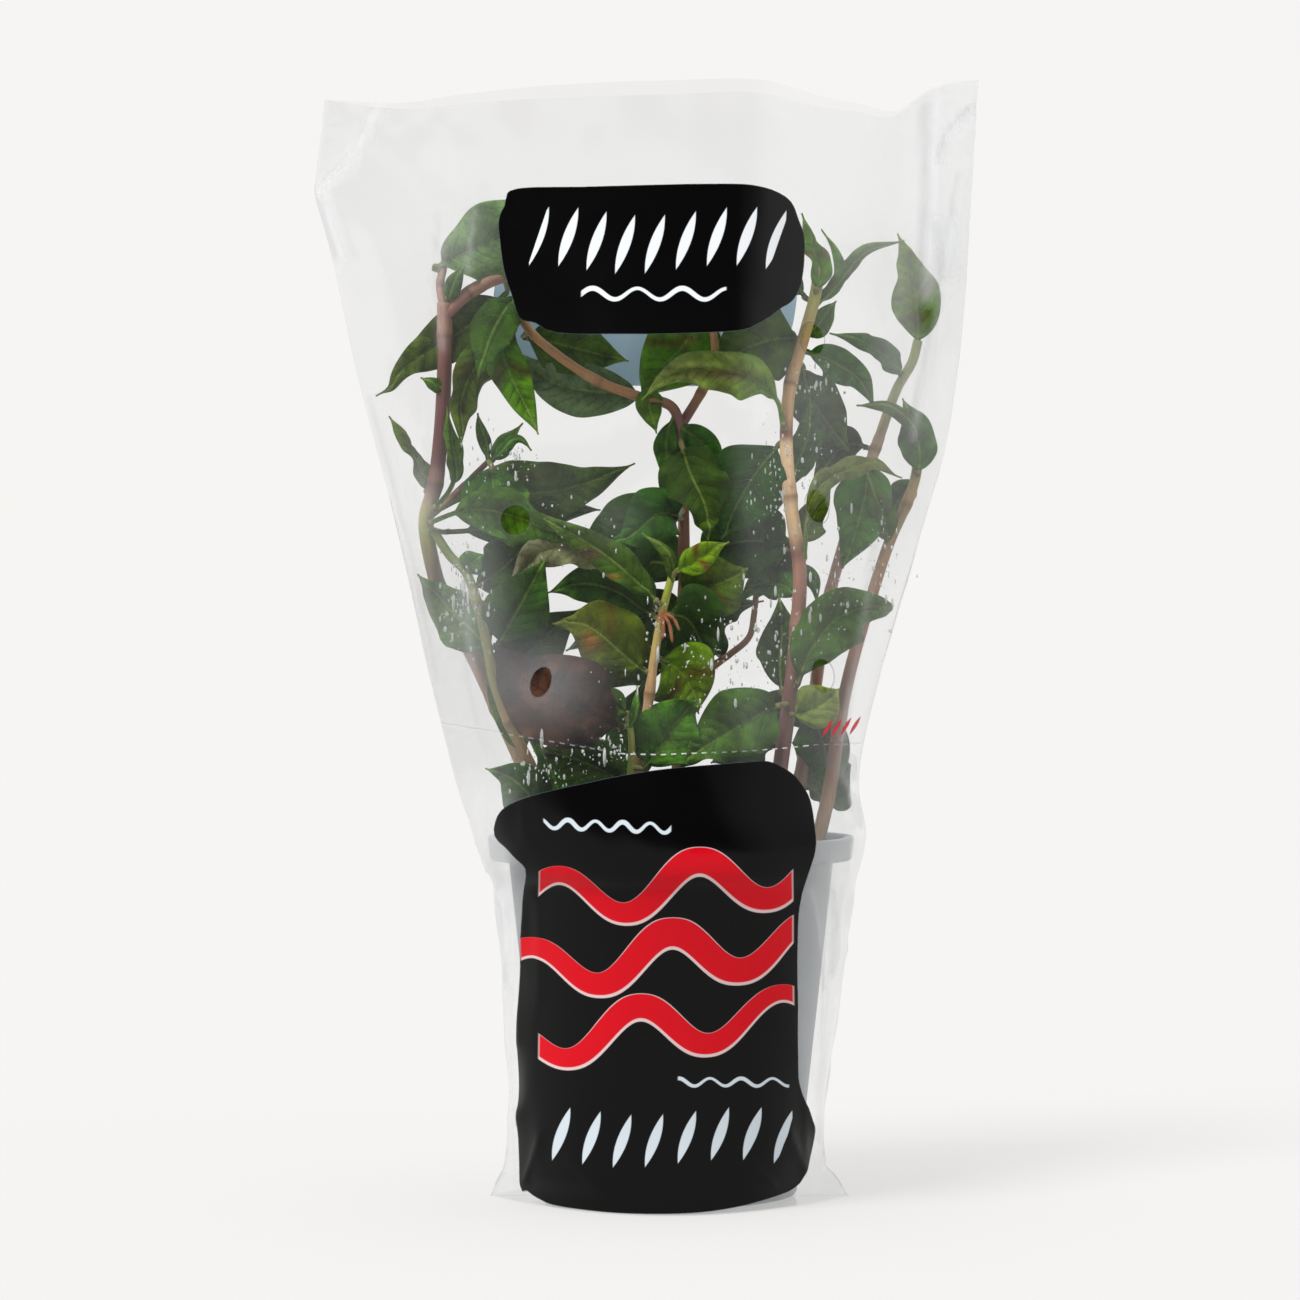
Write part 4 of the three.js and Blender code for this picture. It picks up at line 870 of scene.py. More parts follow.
ROOTLET = [(150, (150, 70, 42)), (170, (164, 92, 52))]
STEMS = {
    "stem_left": dict(
        thick=2.5, thin=2.1, swell=1.14,
        path=[(-30, 80, 6), (-33, 95, 7), (-40, 118, 8), (-50, 141, 9), (-58, 158, 8),
              (-66, 173, 6), (-69.5, 184.5, 2), (-71, 196, 0), (-68.5, 206, 0), (-66.8, 220, 0),
              (-65.8, 237, -1), (-65.6, 249, -1), (-65.8, 259, -1)],
        twigs=[
            twig(1.3, 0.9, [(-65.8, 257, -1), (-67, 264, 0), (-65.4, 271, 0)]),
            twig(2, 1.6, [(-65.6, 255, -1), (-59, 261.5, 0), (-49.6, 266.3, 1), (-38, 268, 2),
                          (-27, 266, 2)]),
            twig(1.1, 0.8, [(-70, 197, 0), (-63, 203, -1), (-57, 209, -2), (-52.5, 213.5, -3)]),
        ],
        leaflets=[
            leaf("fresh", 4.5, [(-66, 233, -1), (-69.5, 235.6, -2), (-72.6, 237.4, -2)], roll=20),
            leaf("fresh", 5, [(-65, 259, -1), (-63, 264, -2), (-59.5, 269.5, -2)]),
            leaf("fresh", 4, [(-53, 213, -3), (-54, 219, -3), (-56.3, 227, -3)], roll=20),
            leaf("fresh", 5.5, [(-52, 213, -3), (-48, 218.5, -4), (-42.8, 224, -4)]),
            leaf("fresh", 4, [(-52.5, 213.5, -3), (-44.5, 219, -5), (-40.5, 216, -5)]),
        ],
    ),
    "stem_middle": dict(
        thick=2.2, thin=1.25, swell=1.15,
        path=[(-2, 80, 2), (1, 112, 3), (3.5, 142, 4), (3.8, 172, 4), (3.6, 200, 3), (3, 216, 0),
              (0.5, 228.5, -4), (-9, 231.7, -7), (-20.6, 236, -9), (-32.2, 243.3, -10),
              (-41, 251, -8), (-46, 260, -6)],
        twigs=[
            twig(1.5, 1, [(2, 222, -2), (8.4, 232.4, 0), (12.5, 241, 3), (12, 252, 3), (9, 263, 2)]),
            twig(1.1, 0.8, [(3.8, 146, 4), (10, 152, 7), (17, 157, 8), (22.6, 162, 8), (24, 168, 8),
                (25.4, 186, 8)]),
        ],
        leaflets=[
            leaf("fresh", 8, [(-2, 230, -5), (-6, 230, -7), (-4.4, 221, -7)]),
            leaf("fresh", 7, [(1, 226.2, -3.3), (-1, 217, -1), (-1.2, 205, 0)], roll=15),
            leaf("fresh", 9, [(1.4, 223.8, -2.5), (8, 219.5, -3), (15.5, 209.5, -4)]),
            leaf("dark", 18, [(3.6, 152, 5), (8, 162, 14), (16, 170, 18), (27, 172, 18)]),
            leaf("dark", 20, [(3.8, 178, 4), (-4, 183, 12), (-13, 182, 15), (-24, 175, 16)]),
            leaf("dark", 20, [(3.7, 160, 4), (-6, 159, 14), (-14, 154, 18), (-22, 146, 19)]),
            leaf("dark", 13, [(-45.6, 259.4, -6.2), (-47.8, 257.4, -13), (-52, 249.6, -16),
                              (-56, 237, -15)], fold=14),
            leaf("fresh", 11, [(3.8, 168, 4), (-1, 170.6, 9), (-6, 170.4, 10), (-11, 165, 9)]),
            leaf("dark", 15, [(3.7, 160, 4), (-8, 164.4, 17), (-20, 163, 19), (-31, 159, 19)]),
        ],
    ),
    "stem_right": dict(
        thick=2.4, thin=1.7, swell=1.12,
        path=[(29, 80, -4), (31, 118, -6), (34, 141, -8), (36.5, 164, -9), (37.3, 181, -10),
              (34.6, 202, -11), (33.4, 221, -10), (34.6, 235, -9), (38.5, 249, -7), (42, 262, -5),
              (42.8, 269, -4)],
        leaflets=[
            leaf("fresh", 4.5, [(41.1, 258.8, -5.5), (47.8, 267, -2), (47, 274, -1), (43.6, 280.5, -1)],
                 roll=60),
            leaf("fresh", 4.8, [(40.6, 256.8, -5.8), (47.6, 268, -2), (54.6, 274.6, 0), (66, 277.2, 0)],
                 roll=45),
            leaf("fresh", 7, [(38.6, 249.4, -6.9), (44, 254, -5), (47.6, 260, -4)]),
            leaf("fresh", 9.5, [(36.3, 188.9, -10.4), (41.4, 197, -8), (47, 206, -7)]),
            leaf("fresh", 5, [(36.9, 184, -10.1), (40.5, 179, -7), (42, 171.5, -6)]),
            leaf("dark", 16, [(32.6, 130, -7), (28, 132, 4), (20, 130, 10), (11, 125, 14)]),
            leaf("dark", 14, [(36, 190.9, -10.5), (32.5, 186, 1), (28.5, 179, 5), (24.5, 173, 7)]),
            leaf("fresh", 10, [(34.4, 205, -10.8), (37.6, 213, 0), (39.2, 223, 3), (38.5, 235, 4)]),
            leaf("fresh", 10, [(36.8, 174, -9.6), (31, 177, 2), (25, 177, 5), (19.4, 172.4, 6)]),
        ],
    ),
    "stem_right_rear": dict(
        thick=2.1, thin=1.4, swell=1.14,
        path=[(32, 80, 10), (37, 118, 10), (41.5, 145, 8), (45.5, 172, 6), (50, 189, 4),
              (53.6, 202, 3), (59, 216, 2), (65.5, 234, 1), (70, 242, 0), (71.6, 248, 0)],
        leaflets=[
            leaf("fresh", 8, [(67.3, 237.3, 0.6), (60, 244.5, -2), (52.5, 248.4, -3), (46, 250.5, -2)],
                 roll=25),
            leaf("dark", 14, [(39.8, 135, 8.9), (34.6, 139.4, 18), (27, 139.6, 24), (17, 136, 27)]),
            leaf("dark", 16, [(41.2, 143, 8.2), (43.5, 134, 3), (45, 126, 2), (44, 116, 1)]),
        ],
    ),
    "stem_right_outer": dict(
        thick=2.2, thin=1.5, swell=1.14,
        path=[(38.5, 80, -2), (41.8, 99, -2), (46, 118, -2), (48.6, 136, -2), (52, 152.5, -2),
              (57, 170, -1), (63.5, 190, 0), (68, 200, 0), (70.8, 208, 0), (72, 217, 0)],
        leaflets=[
            leaf("fresh", 8, [(63.1, 188.8, -0.1), (60.6, 199, -3), (57.4, 209.5, -3)]),
            leaf("fresh", 4.5, [(71.5, 216, 0), (68, 223, -2), (62, 228, -3), (52.8, 229, -3)], roll=35),
            leaf("dark", 16, [(44.9, 113, -2), (46, 119, 10), (42, 126, 18), (34, 131, 24)]),
            leaf("fresh", 8, [(70.8, 207.9, 0), (68.4, 205, 4), (65.6, 201, 6), (63.5, 193, 7)]),
        ],
    ),
    "shoot_centre": dict(
        thick=1.8, thin=1.1, swell=1.2,
        path=[(-12.5, 80, -15), (-11, 106, -18), (-9.4, 125, -20), (-6.3, 145, -22),
              (-4.6, 158, -23), (-2.2, 170.5, -24), (0.2, 179.5, -25)],
        twigs=[
            twig(0.6, 0.25, [(-2.6, 169, -24), (-0.6, 166, -26), (0.4, 160.4, -26.4)], ROOTLET),
            twig(0.5, 0.2, [(-2.8, 168.4, -24), (-2, 164.6, -26), (-2.6, 161.6, -26.4)], ROOTLET),
            twig(0.5, 0.2, [(-2.4, 169, -24), (0.6, 167.6, -26), (2.4, 164, -26.2)], ROOTLET),
        ],
        leaflets=[
            leaf("fresh", 4, [(0.2, 178, -25), (-1.8, 186, -27), (-8.4, 192.4, -27)], roll=35),
        ],
    ),
    "shoot_short": dict(
        thick=1.4, thin=0.9, swell=1.2,
        path=[(-18, 80, -17), (-14, 108, -21), (-11.6, 124, -24), (-11.6, 134, -26),
              (-13, 140.5, -27)],
        leaflets=[
            leaf("fresh", 3, [(-12, 136, -27), (-10.6, 141, -28), (-9.6, 148, -28)], roll=20),
            leaf("fresh", 9, [(-13, 139.5, -27), (-18, 143, -29), (-26, 145.8, -29)]),
            leaf("dark", 15, [(-12.5, 118, -22.9), (-12.4, 128, -17), (-11, 138, -14), (-8.6, 149.5, -13)]),
        ],
    ),
    "stem_left_side": dict(
        thick=1.7, thin=1.3, swell=1.15,
        path=[(-30, 80, -8), (-34, 102, -12), (-39.4, 122, -15), (-46.7, 136.6, -16),
              (-51, 148, -16), (-53.6, 161, -15), (-56, 171, -12), (-59.6, 181, -8),
              (-64, 185.5, -5), (-69, 193, -1.4)],
        leaflets=[
            leaf("fresh", 9, [(-59.6, 181, -8), (-57, 184, -9), (-54, 186, -9)], fold=5),
            leaf("dark", 16, [(-57.8, 176.1, -10), (-51, 180.6, -4), (-43.5, 186, -2), (-34, 192.5, -1)]),
            leaf("dark", 18, [(-50.6, 147, -16), (-44, 155, -8), (-36, 162, -6), (-27, 171, -5)]),
            leaf("fresh", 12, [(-35.6, 108, -12.9), (-33, 117, -6), (-36, 126, -4), (-42, 134.5, -4)]),
        ],
    ),
}

# %% Colours along the stems
#  up as seen, colour
STEM_COLOURS = {
    "stem_left": [(96, (176, 158, 122)), (150, (150, 118, 92)), (175, (120, 88, 78)), (194, (150, 156, 84)),
                  (200, (150, 140, 84)), (206, (104, 66, 66)), (240, (112, 72, 66)), (262, (170, 124, 104))],
    "stem_middle": [(96, (150, 112, 74)), (200, (136, 90, 66)), (226, (112, 72, 64)), (233, (152, 108, 66)),
                    (260, (184, 140, 88))],
    "stem_right": [(96, (126, 92, 78)), (140, (112, 74, 66)), (183, (158, 108, 88)), (186, (120, 76, 56)),
                   (192, (214, 178, 134)), (218, (230, 194, 148)), (221, (116, 72, 50)),
                   (226, (198, 158, 112)), (246, (176, 140, 92)), (262, (152, 152, 66))],
    "stem_right_rear": [(96, (132, 100, 90)), (170, (176, 138, 120)), (205, (190, 150, 130)),
                        (240, (130, 140, 80))],
    "stem_right_outer": [(96, (150, 124, 84)), (136, (120, 82, 64)), (170, (150, 106, 78)),
                         (212, (140, 128, 76))],
    "shoot_centre": [(100, (176, 134, 96)), (150, (196, 156, 112)), (165, (176, 160, 84)),
                     (168, (150, 84, 50)), (171, (150, 156, 60)), (176, (148, 160, 54))],
    "shoot_short": [(100, (140, 120, 70)), (128, (150, 158, 70)), (141, (160, 176, 70))],
    "stem_left_side": [(96, (150, 122, 84)), (124, (146, 112, 76)), (150, (120, 116, 66)),
                       (186, (104, 120, 62))],
}
print("stems with colours:", len(STEM_COLOURS))

# %% A stem from its path
SHEATH = 5.5  # length of the papery sheath above a joint
JOINT_SPACING, STEM_MARGIN = 32, 0.7
PAPER, RING = (176, 142, 104), (88, 56, 40)


def add_stem(pile, colours, path, thick, thin, swell, columns=18):
    """A tube whose radius goes from thick to thin. At each joint it swells to swell times as much and
    then stays a little wider for the length of the sheath."""
    length = walk(place(path), 9)[3]
    rows = int(length / 1.1) + 2
    centre, ahead, given, _ = walk(place(path), rows)
    joints = [given[1]]
    for joint in given[2:-1]:
        if (joint - joints[-1]) * length > JOINT_SPACING:
            joints.append(joint)
    across = unit(np.cross([0, -1, 0], ahead))
    behind = unit(np.cross(ahead, across))
    along = np.linspace(0, length, rows)
    radius = thick + (thin - thick) * along / length
    ring, sheath = np.zeros(rows), np.zeros(rows)
    for joint in np.array(joints) * length:
        past = along - joint
        radius = radius * (1 + (swell - 1) * np.exp(-(past / 1.5) ** 2))
        ring += np.exp(-((past - 0.4) / 0.8) ** 2)
        sheath = np.maximum(sheath, ease(past / 0.8) * ease((SHEATH - past) / 1.2))
    radius = radius + 0.16 * sheath
    turn = np.linspace(0, 2 * math.pi, columns, endpoint=False)
    flute = 1 + 0.025 * np.sin(5 * turn)[None, :]
    reach = (radius[:, None] * flute)[..., None]
    rings = centre[:, None, :] + reach * (np.cos(turn)[None, :, None] * across[:, None, :]
                                          + np.sin(turn)[None, :, None] * behind[:, None, :])
    rings = keep_inside(rings, STEM_MARGIN)
    _, up = seen(rings)
    heights, stops = [c[0] for c in colours], np.array([c[1] for c in colours], float)
    tone = np.stack([np.interp(up, heights, stops[:, k]) for k in range(3)], -1)
    streak = 0.9 + 0.2 * noise(along[:, None] / 9 + 0 * up, turn[None, :] * 2.5 + 0 * up, 11)
    tone = tone * streak[..., None]
    tone = towards(tone, PAPER, 0.3 * sheath[:, None])
    tone = towards(tone, RING, np.clip(0.5 * ring, 0, 1)[:, None])
    points, faces = skin(rings)
    lengths = np.stack([along[:, None] + 0 * up, radius[:, None] * turn[None, :] + 0 * up], -1)
    pile.add(points, faces, tone=with_caps(linear(tone)), length=with_caps(lengths))


def stem_material():
    """Long grain and a few brown spots over the colour of each point."""
    paint = Paint("stem")
    along, _ = paint.map("length")
    grain = paint.lumps(0.8, 3, stretch=(1, 1, 0.12))
    spots = paint.lumps(1.4, 2).step(0.6, 0.72)
    tone = paint.blend(spots * 0.3, paint.colour("tone"), rgb(96, 58, 44))
    tone = paint.blend((grain - 0.4) * 0.5, tone, rgb(90, 66, 44))
    return paint.finish(paint.shader(tone, 0.34 + grain * 0.25, Normal=paint.bump(grain, 0.2)))


stem_skin = stem_material()
print("stem material:", len(stem_skin.node_tree.nodes), "nodes")

# %% Make the stems, their small leaves and the roots of the stalks
LEAFLET_FOLD = 12
STALK = [(100, (118, 132, 70)), (280, (122, 138, 76))]
STALK_THICK, STALK_THIN, STALK_OVERLAP = 0.9, 0.7, 1.5


def stalk_roots():
    """Joins each larger leaf to the nearest stem or twig: for every stem the short paths that run from
    its middle line to the start of a leaf, and a little way along the leaf's own stalk."""
    lines = [(name, walk(np.array(path, float), 80)[0]) for name, stem in STEMS.items()
             for path in [stem["path"]] + [part["path"] for part in stem.get("twigs", ())]]
    roots = {name: [] for name in STEMS}
    for shape in LEAVES.values():
        start, following = np.array(shape["path"][:2], float)
        distances = [(np.linalg.norm(line - start, axis=1), name, line) for name, line in lines]
        away, name, nearest = min((far.min(), name, tuple(line[far.argmin()]))
                                  for far, name, line in distances)
        if away > 1:
            ahead = start + STALK_OVERLAP * unit(following - start)
            roots[name].append([nearest, tuple(start), tuple(ahead)])
    return roots


roots = stalk_roots()
for name, stem in STEMS.items():
    pile = Pile()
    colours = STEM_COLOURS[name]
    add_stem(pile, colours, stem["path"], stem["thick"], stem["thin"], stem["swell"])
    for part in stem.get("twigs", ()):
        add_stem(pile, part["colours"] or colours, part["path"], part["thick"], part["thin"], part["swell"])
    for path in roots[name]:
        add_stem(pile, STALK, path, STALK_THICK, STALK_THIN, swell=1.0, columns=12)
    finish_piece(pile.mesh("jointed_" + name), stem_skin, "stem", name)
    pile = Pile()
    for number, shape in enumerate(stem["leaflets"]):
        add_leaf(pile, name + str(number), seed=90 + number, rows=40, columns=11,
                 **{"fold": LEAFLET_FOLD, **shape})
    finish_piece(pile.mesh("leaflets_" + name), leaf_green, "leaf", name)
print("stems:", len(STEMS), "joined leaves:", sum(len(paths) for paths in roots.values()))

# %% [markdown]
# ## Soil and pot
# The soil is a dark, crumbly growing mix, level with the foot of the pot's rim band. The pot is one
# thin moulding of grey plastic: a smooth taper, a stepped rim band that stiffens it, and five drain
# holes around the middle of its floor. A thin wall has two skins, so the pot and the film are made by
# the same function: it takes the outer skin and the inner one, leaves out the faces in the holes and
# bridges every open edge.

# %% Two-skinned shells


def shell(outer, inner, gone=None):
    """Closed shell between two skins of rings, which start around a pole. gone tells which quads are
    left out; each edge that is open then is bridged from skin to skin."""
    rows, columns, _ = outer.shape
    count = rows * columns
    quads = ring_faces(rows, columns)
    if gone is not None:
        quads = quads[~gone.ravel()]
    here = np.arange(columns)
    pole = np.stack([np.full(columns, count), (here + 1) % columns, here], -1)
    skin_edges = np.concatenate([quads[:, [k, (k + 1) % 4]] for k in range(4)]
                                + [pole[:, [k, (k + 1) % 3]] for k in range(3)])
    code = skin_edges[:, 0] * (count + 1) + skin_edges[:, 1]
    back = skin_edges[:, 1] * (count + 1) + skin_edges[:, 0]
    open_edges = skin_edges[~np.isin(back, code)]
    size = count + 1
    a, b = open_edges.T
    bridges = np.stack([b, a, a + size, b + size], -1)
    points = np.concatenate([outer.reshape(-1, 3), outer[0].mean(0)[None],
                             inner.reshape(-1, 3), inner[0].mean(0)[None]])
    faces = (quads.tolist() + pole.tolist() + (quads[:, ::-1] + size).tolist()
             + (pole[:, ::-1] + size).tolist() + bridges.tolist())
    return points, faces


def punch(u, v, holes):
    """Moves the grid (u, v) so that it fits round oval holes, each given as middle, two radii, a tilt and
    where the grid may be cut, and tells which quads lie inside one."""
    gone = np.zeros((u.shape[0] - 1, u.shape[1]), bool)
    corners = lambda grid: (grid[:-1] + grid[1:] + np.roll(grid, -1, 1)[:-1] + np.roll(grid, -1, 1)[1:]) / 4
    for middle_u, middle_v, radius_u, radius_v, tilt, use in holes:
        c, s = math.cos(math.radians(tilt)), math.sin(math.radians(tilt))

        def share(p, q):
            du, dv = p - middle_u, q - middle_v
            return np.hypot((du * c + dv * s) / radius_u, (dv * c - du * s) / radius_v)

        inside = (share(corners(u), corners(v)) < 1) & use[:-1]
        near, core = np.zeros(u.shape, bool), np.ones(u.shape, bool)
        for grown in (inside, np.roll(inside, 1, 1)):
            for rows in (slice(None, -1), slice(1, None)):
                touched = np.zeros(u.shape, bool)
                touched[rows] = grown
                near |= touched
                core &= touched
        edge = near & ~core
        scale = 1 / np.maximum(share(u, v), 1e-6)
        u = np.where(edge, middle_u + (u - middle_u) * scale, u)
        v = np.where(edge, middle_v + (v - middle_v) * scale, v)
        gone |= inside
    return u, v, gone


def lathe(profile, columns):
    """Turns a profile of radius and height about the upright axis, without closing it."""
    turn = np.linspace(0, 2 * math.pi, columns, endpoint=False)
    r, z = np.asarray(profile, float).T
    return np.stack([r[:, None] * np.cos(turn), r[:, None] * np.sin(turn), z[:, None] + 0 * turn], -1)


print("a turned ring:", lathe([(1, 0)], 8).shape)

# %% The pot
POT = dict(foot=36.4, shoulder=47, rim=53, height=104.4, shoulder_up=97.4, wall=1.2, floor=1.05)
DRAIN_RADIUS, DRAIN_RING, DRAIN_COUNT = 4, 23, 5
DISC_ROWS, POT_COLUMNS = 34, 160


def pot_inside(up):
    """Radius of the pot's inner face, which rises in a straight slope."""
    slope = (POT["shoulder"] - POT["foot"]) / (POT["shoulder_up"] - POT["floor"])
    return POT["foot"] - POT["wall"] + slope * (up - POT["floor"])


def make_pot():
    """Outer and inner profile from the middle of the floor to the rim, turned, then cut by the holes."""
    floor, wall, up = POT["floor"], POT["wall"], POT["shoulder_up"]
    disc = np.linspace(1.5, POT["foot"] - 1.2, DISC_ROWS)
    outer = [(r, floor) for r in disc] + [(POT["foot"] - 0.4, floor + 0.25), (POT["foot"], floor + 1)]
    inner = [(min(r, pot_inside(3) - 0.3), floor + wall) for r in disc]
    inner += [(pot_inside(3) - 0.05, floor + wall + 0.2), (pot_inside(3.2), floor + wall + 0.8)]
    for t in np.linspace(0.03, 1, 30):
        z = floor + 1 + t * (up - floor - 1)
        outer.append((POT["foot"] + (POT["shoulder"] - POT["foot"]) * t, z))
        inner.append((pot_inside(z + 1.1), max(z + 1.1, floor + wall + 1)))
    rim = POT["rim"]
    outer += [(rim - 1.4, up + 0.3), (rim - 0.7, up + 0.6), (rim - 0.5, up + 1.2), (rim - 0.1, up + 5.4),
              (rim, 104), (rim - 0.3, 104.4)]
    inner += [(pot_inside(up + 1.3) + 0.4, up + 1.5), (rim - 3.3, up + 1.8), (rim - 3, up + 2.4),
              (rim - 2.7, 103.2), (rim - 2.5, 104.1), (rim - 2.2, 104.4)]
    outer, inner = lathe(outer, POT_COLUMNS), lathe(inner, POT_COLUMNS)
    use = np.zeros(outer.shape[:2], bool)
    use[:DISC_ROWS] = True
    holes = []
    for k in range(DRAIN_COUNT):
        turn = 2 * math.pi * k / DRAIN_COUNT
        holes.append((DRAIN_RING * math.cos(turn), DRAIN_RING * math.sin(turn),
                      DRAIN_RADIUS, DRAIN_RADIUS, 0, use))
    x, y, gone = punch(outer[..., 0], outer[..., 1], holes)
    flat = np.arange(len(outer))[:, None] < DISC_ROWS - 1
    outer[..., 0], outer[..., 1] = x, y
    inner[..., 0], inner[..., 1] = np.where(flat, x, inner[..., 0]), np.where(flat, y, inner[..., 1])
    points, faces = shell(outer, inner, gone)
    return make_piece("moulded_pot", points, faces, {})


paint = Paint("pot")
speck = paint.lumps(0.5, 2)
plastic = paint.blend(speck * 0.2, rgb(158, 162, 165), rgb(130, 134, 138))
moulded = paint.shader(plastic, 0.42, Normal=paint.bump(speck, 0.05))
finish_piece(make_pot(), paint.finish(moulded), "pot", "pot")
print("drain holes:", DRAIN_COUNT)

# %% The soil
SOIL_TOP, SOIL_FLOOR, SIDE_GAP = 91, 2.6, 0.35
WALL_ROWS, TOP_ROWS, CRUMBS = 8, 48, 700


def make_soil(columns=150):
    """Rings up the pot's wall and then inwards over the mound: a smooth rise with lumps of two sizes."""
    turn = np.linspace(0, 2 * math.pi, columns, endpoint=False)
    up = np.concatenate([np.linspace(SOIL_FLOOR, SOIL_TOP - 1, WALL_ROWS), np.full(TOP_ROWS, SOIL_TOP)])
    share = np.concatenate([np.ones(WALL_ROWS), np.linspace(0.985, 0.02, TOP_ROWS)])
    top = np.concatenate([np.zeros(WALL_ROWS), np.ones(TOP_ROWS)])
    radius = (pot_inside(up) - SIDE_GAP) * share
    x, y = radius[:, None] * np.cos(turn), radius[:, None] * np.sin(turn)
    rise = 2.4 * (1 - share[:, None] ** 2)
    lumps = 2.4 * (noise(x / 8 + 20, y / 8 + 20, 2) - 0.5)
    lumps += 1.5 * (noise(x / 2.6 + 50, y / 2.6 + 50, 3) - 0.5)
    z = up[:, None] + top[:, None] * (rise + lumps * ease((1 - share[:, None]) / 0.04))
    return np.stack([x, y, z], -1)


def crumb(rng):
    """A small stone-like grain: an octahedron with its six corners pulled about."""
    corners = np.array([(1, 0, 0), (-1, 0, 0), (0, 1, 0), (0, -1, 0), (0, 0, 1), (0, 0, -1)], float)
    faces = [(0, 2, 4), (2, 1, 4), (1, 3, 4), (3, 0, 4), (2, 0, 5), (1, 2, 5), (3, 1, 5), (0, 3, 5)]
    return corners * rng.uniform(0.6, 1.3, (6, 1)), faces


def add_crumbs(pile, ground, count, rng):
    """Strews grains over the top of the soil."""
    for k in range(count):
        row, column = rng.integers(WALL_ROWS + 2, len(ground) - 2), rng.integers(0, ground.shape[1])
        corners, faces = crumb(rng)
        pile.add(corners * rng.uniform(0.5, 1.5) + ground[row, column] + [0, 0, 0.3], faces)


ground = make_soil()
pile = Pile()
pile.add(*skin(ground))
add_crumbs(pile, ground, CRUMBS, np.random.default_rng(5))
paint = Paint("soil")
clod = paint.lumps(2.2, 6)
earth = paint.blend(clod.step(0.35, 0.65), rgb(38, 27, 20), rgb(84, 62, 46))
earth = paint.blend(paint.lumps(0.9, 2).step(0.66, 0.72), earth, rgb(150, 128, 100))
finish_piece(pile.mesh("growing_mix"), paint.finish(paint.shader(earth, 0.9, Normal=paint.bump(clod, 0.8))),
             "soil", "soil")
print("soil crumbs:", CRUMBS)

# %% [markdown]
# ## The clear sleeve
# The sleeve is a bag of thin film: a base, a front and a back sheet that meet in two folds, and five
# vent holes punched through the front. Its grid runs from the middle of the base outwards and up to
# the trimmed mouth, with more columns near the folds. The film is not smooth. Every crease is a line
# along which the sheet stands out a little, sharp in the middle and fading sideways, and between the
# creases the sheet has slow dents.

# %% Creases of the film
# Seen from the front: the height of the ridge, the width it fades over, and its line, across and up.
CREASES = [
    (1.6, 2.2, [(-84, 318), (-89.6, 304), (-101, 292)]),
    (0.8, 1.6, [(-101, 290), (-94.5, 271)]),
    (0.6, 1.2, [(-98, 291), (-91.5, 270)]),
    (0.7, 5, [(-88, 300), (-82, 262), (-72, 225)]),
    (0.9, 2, [(78, 318), (77, 285), (74, 261)]),
    (0.7, 1.5, [(72, 312), (88, 300)]),
    (0.9, 1.4, [(78, 322), (90, 309)]),
    (0.6, 1.2, [(70, 316), (84, 318)]),
    (0.8, 3, [(86, 296), (79, 270), (74, 240)]),
    (0.7, 4, [(70, 300), (67, 255), (62, 214), (55, 160)]),
    (0.5, 3, [(50, 318), (52, 290), (48, 262)]),
    (0.6, 5, [(-60, 314), (-62, 280), (-57, 240)]),
    (0.5, 4, [(-20, 320), (-24, 300), (-22, 285)]),
    (0.6, 2.5, [(-76, 232), (-68, 196), (-62, 160), (-56, 128)]),
    (0.6, 1.2, [(-50, 128), (-55, 112), (-52, 104)]),
    (0.7, 1.2, [(40, 129), (50, 118), (53, 106)]),
    (0.6, 1.0, [(44, 108), (52, 120)]),
    (0.8, 1.2, [(-50, 92), (-47, 60), (-45, 22)]),
    (0.5, 0.9, [(-46, 96), (-44, 70), (-43, 44)]),
    (0.8, 1.3, [(45, 98), (43, 60), (41, 20)]),
    (0.6, 1.0, [(49, 90), (47, 62), (44, 36)]),
    (0.5, 0.8, [(41, 92), (40.5, 66)]),
    (0.9, 1.6, [(-44, 24), (-47, 8), (-52, 2)]),
    (0.9, 1.6, [(40, 26), (44, 10), (51, 2)]),
    (0.7, 1.2, [(-38, 16), (-42, 4)]),
    (0.7, 1.2, [(34, 18), (40, 4)]),
    (0.4, 0.7, [(-30, 12), (-22, 3)]),
    (0.4, 0.7, [(22, 10), (30, 3)]),
]
# Painted highlights along the film's folds, each with a thin painted shade line beside it: how much, over
# what width, along which line.
FOLD_HIGHLIGHTS = [
    (0.08, 1.2, [(-66, 284), (-67, 262), (-66.5, 246)]),
    (0.07, 1.0, [(-57, 286), (-59, 268)]),
    (0.24, 1.6, [(-101, 291), (-95, 272)]),
    (0.22, 1.2, [(-84, 317), (-89.6, 304), (-101, 292)]),
    (0.16, 2.6, [(76, 316), (76.5, 290), (74, 262)]),
    (0.24, 3.0, [(80, 281), (81, 268)]),
    (0.22, 1.2, [(88, 316), (80, 308), (78, 300)]),
    (0.08, 1.2, [(84, 296), (78, 262), (70, 220)]),
    (0.06, 1.4, [(-86, 232), (-74, 186), (-66, 150)]),
    (0.05, 1.4, [(-60, 176), (-57, 150), (-52, 128)]),
    (0.06, 1.2, [(60, 190), (54, 160), (50, 132)]),
    (0.05, 1.0, [(52, 148), (49, 126), (52, 112)]),
    (0.07, 1.2, [(-48, 92), (-46, 50), (-45, 12)]),
    (0.06, 1.0, [(46, 96), (44, 56), (43, 16)]),
    (0.12, 0.7, [(-52, 94), (-47.5, 84), (-46, 62)]),
    (0.1, 0.6, [(-55, 96), (-50.5, 80), (-49, 58)]),
    (0.12, 0.7, [(45, 90), (47.5, 80), (46, 64)]),
    (0.1, 0.6, [(40, 90), (42, 80), (43.6, 60)]),
]
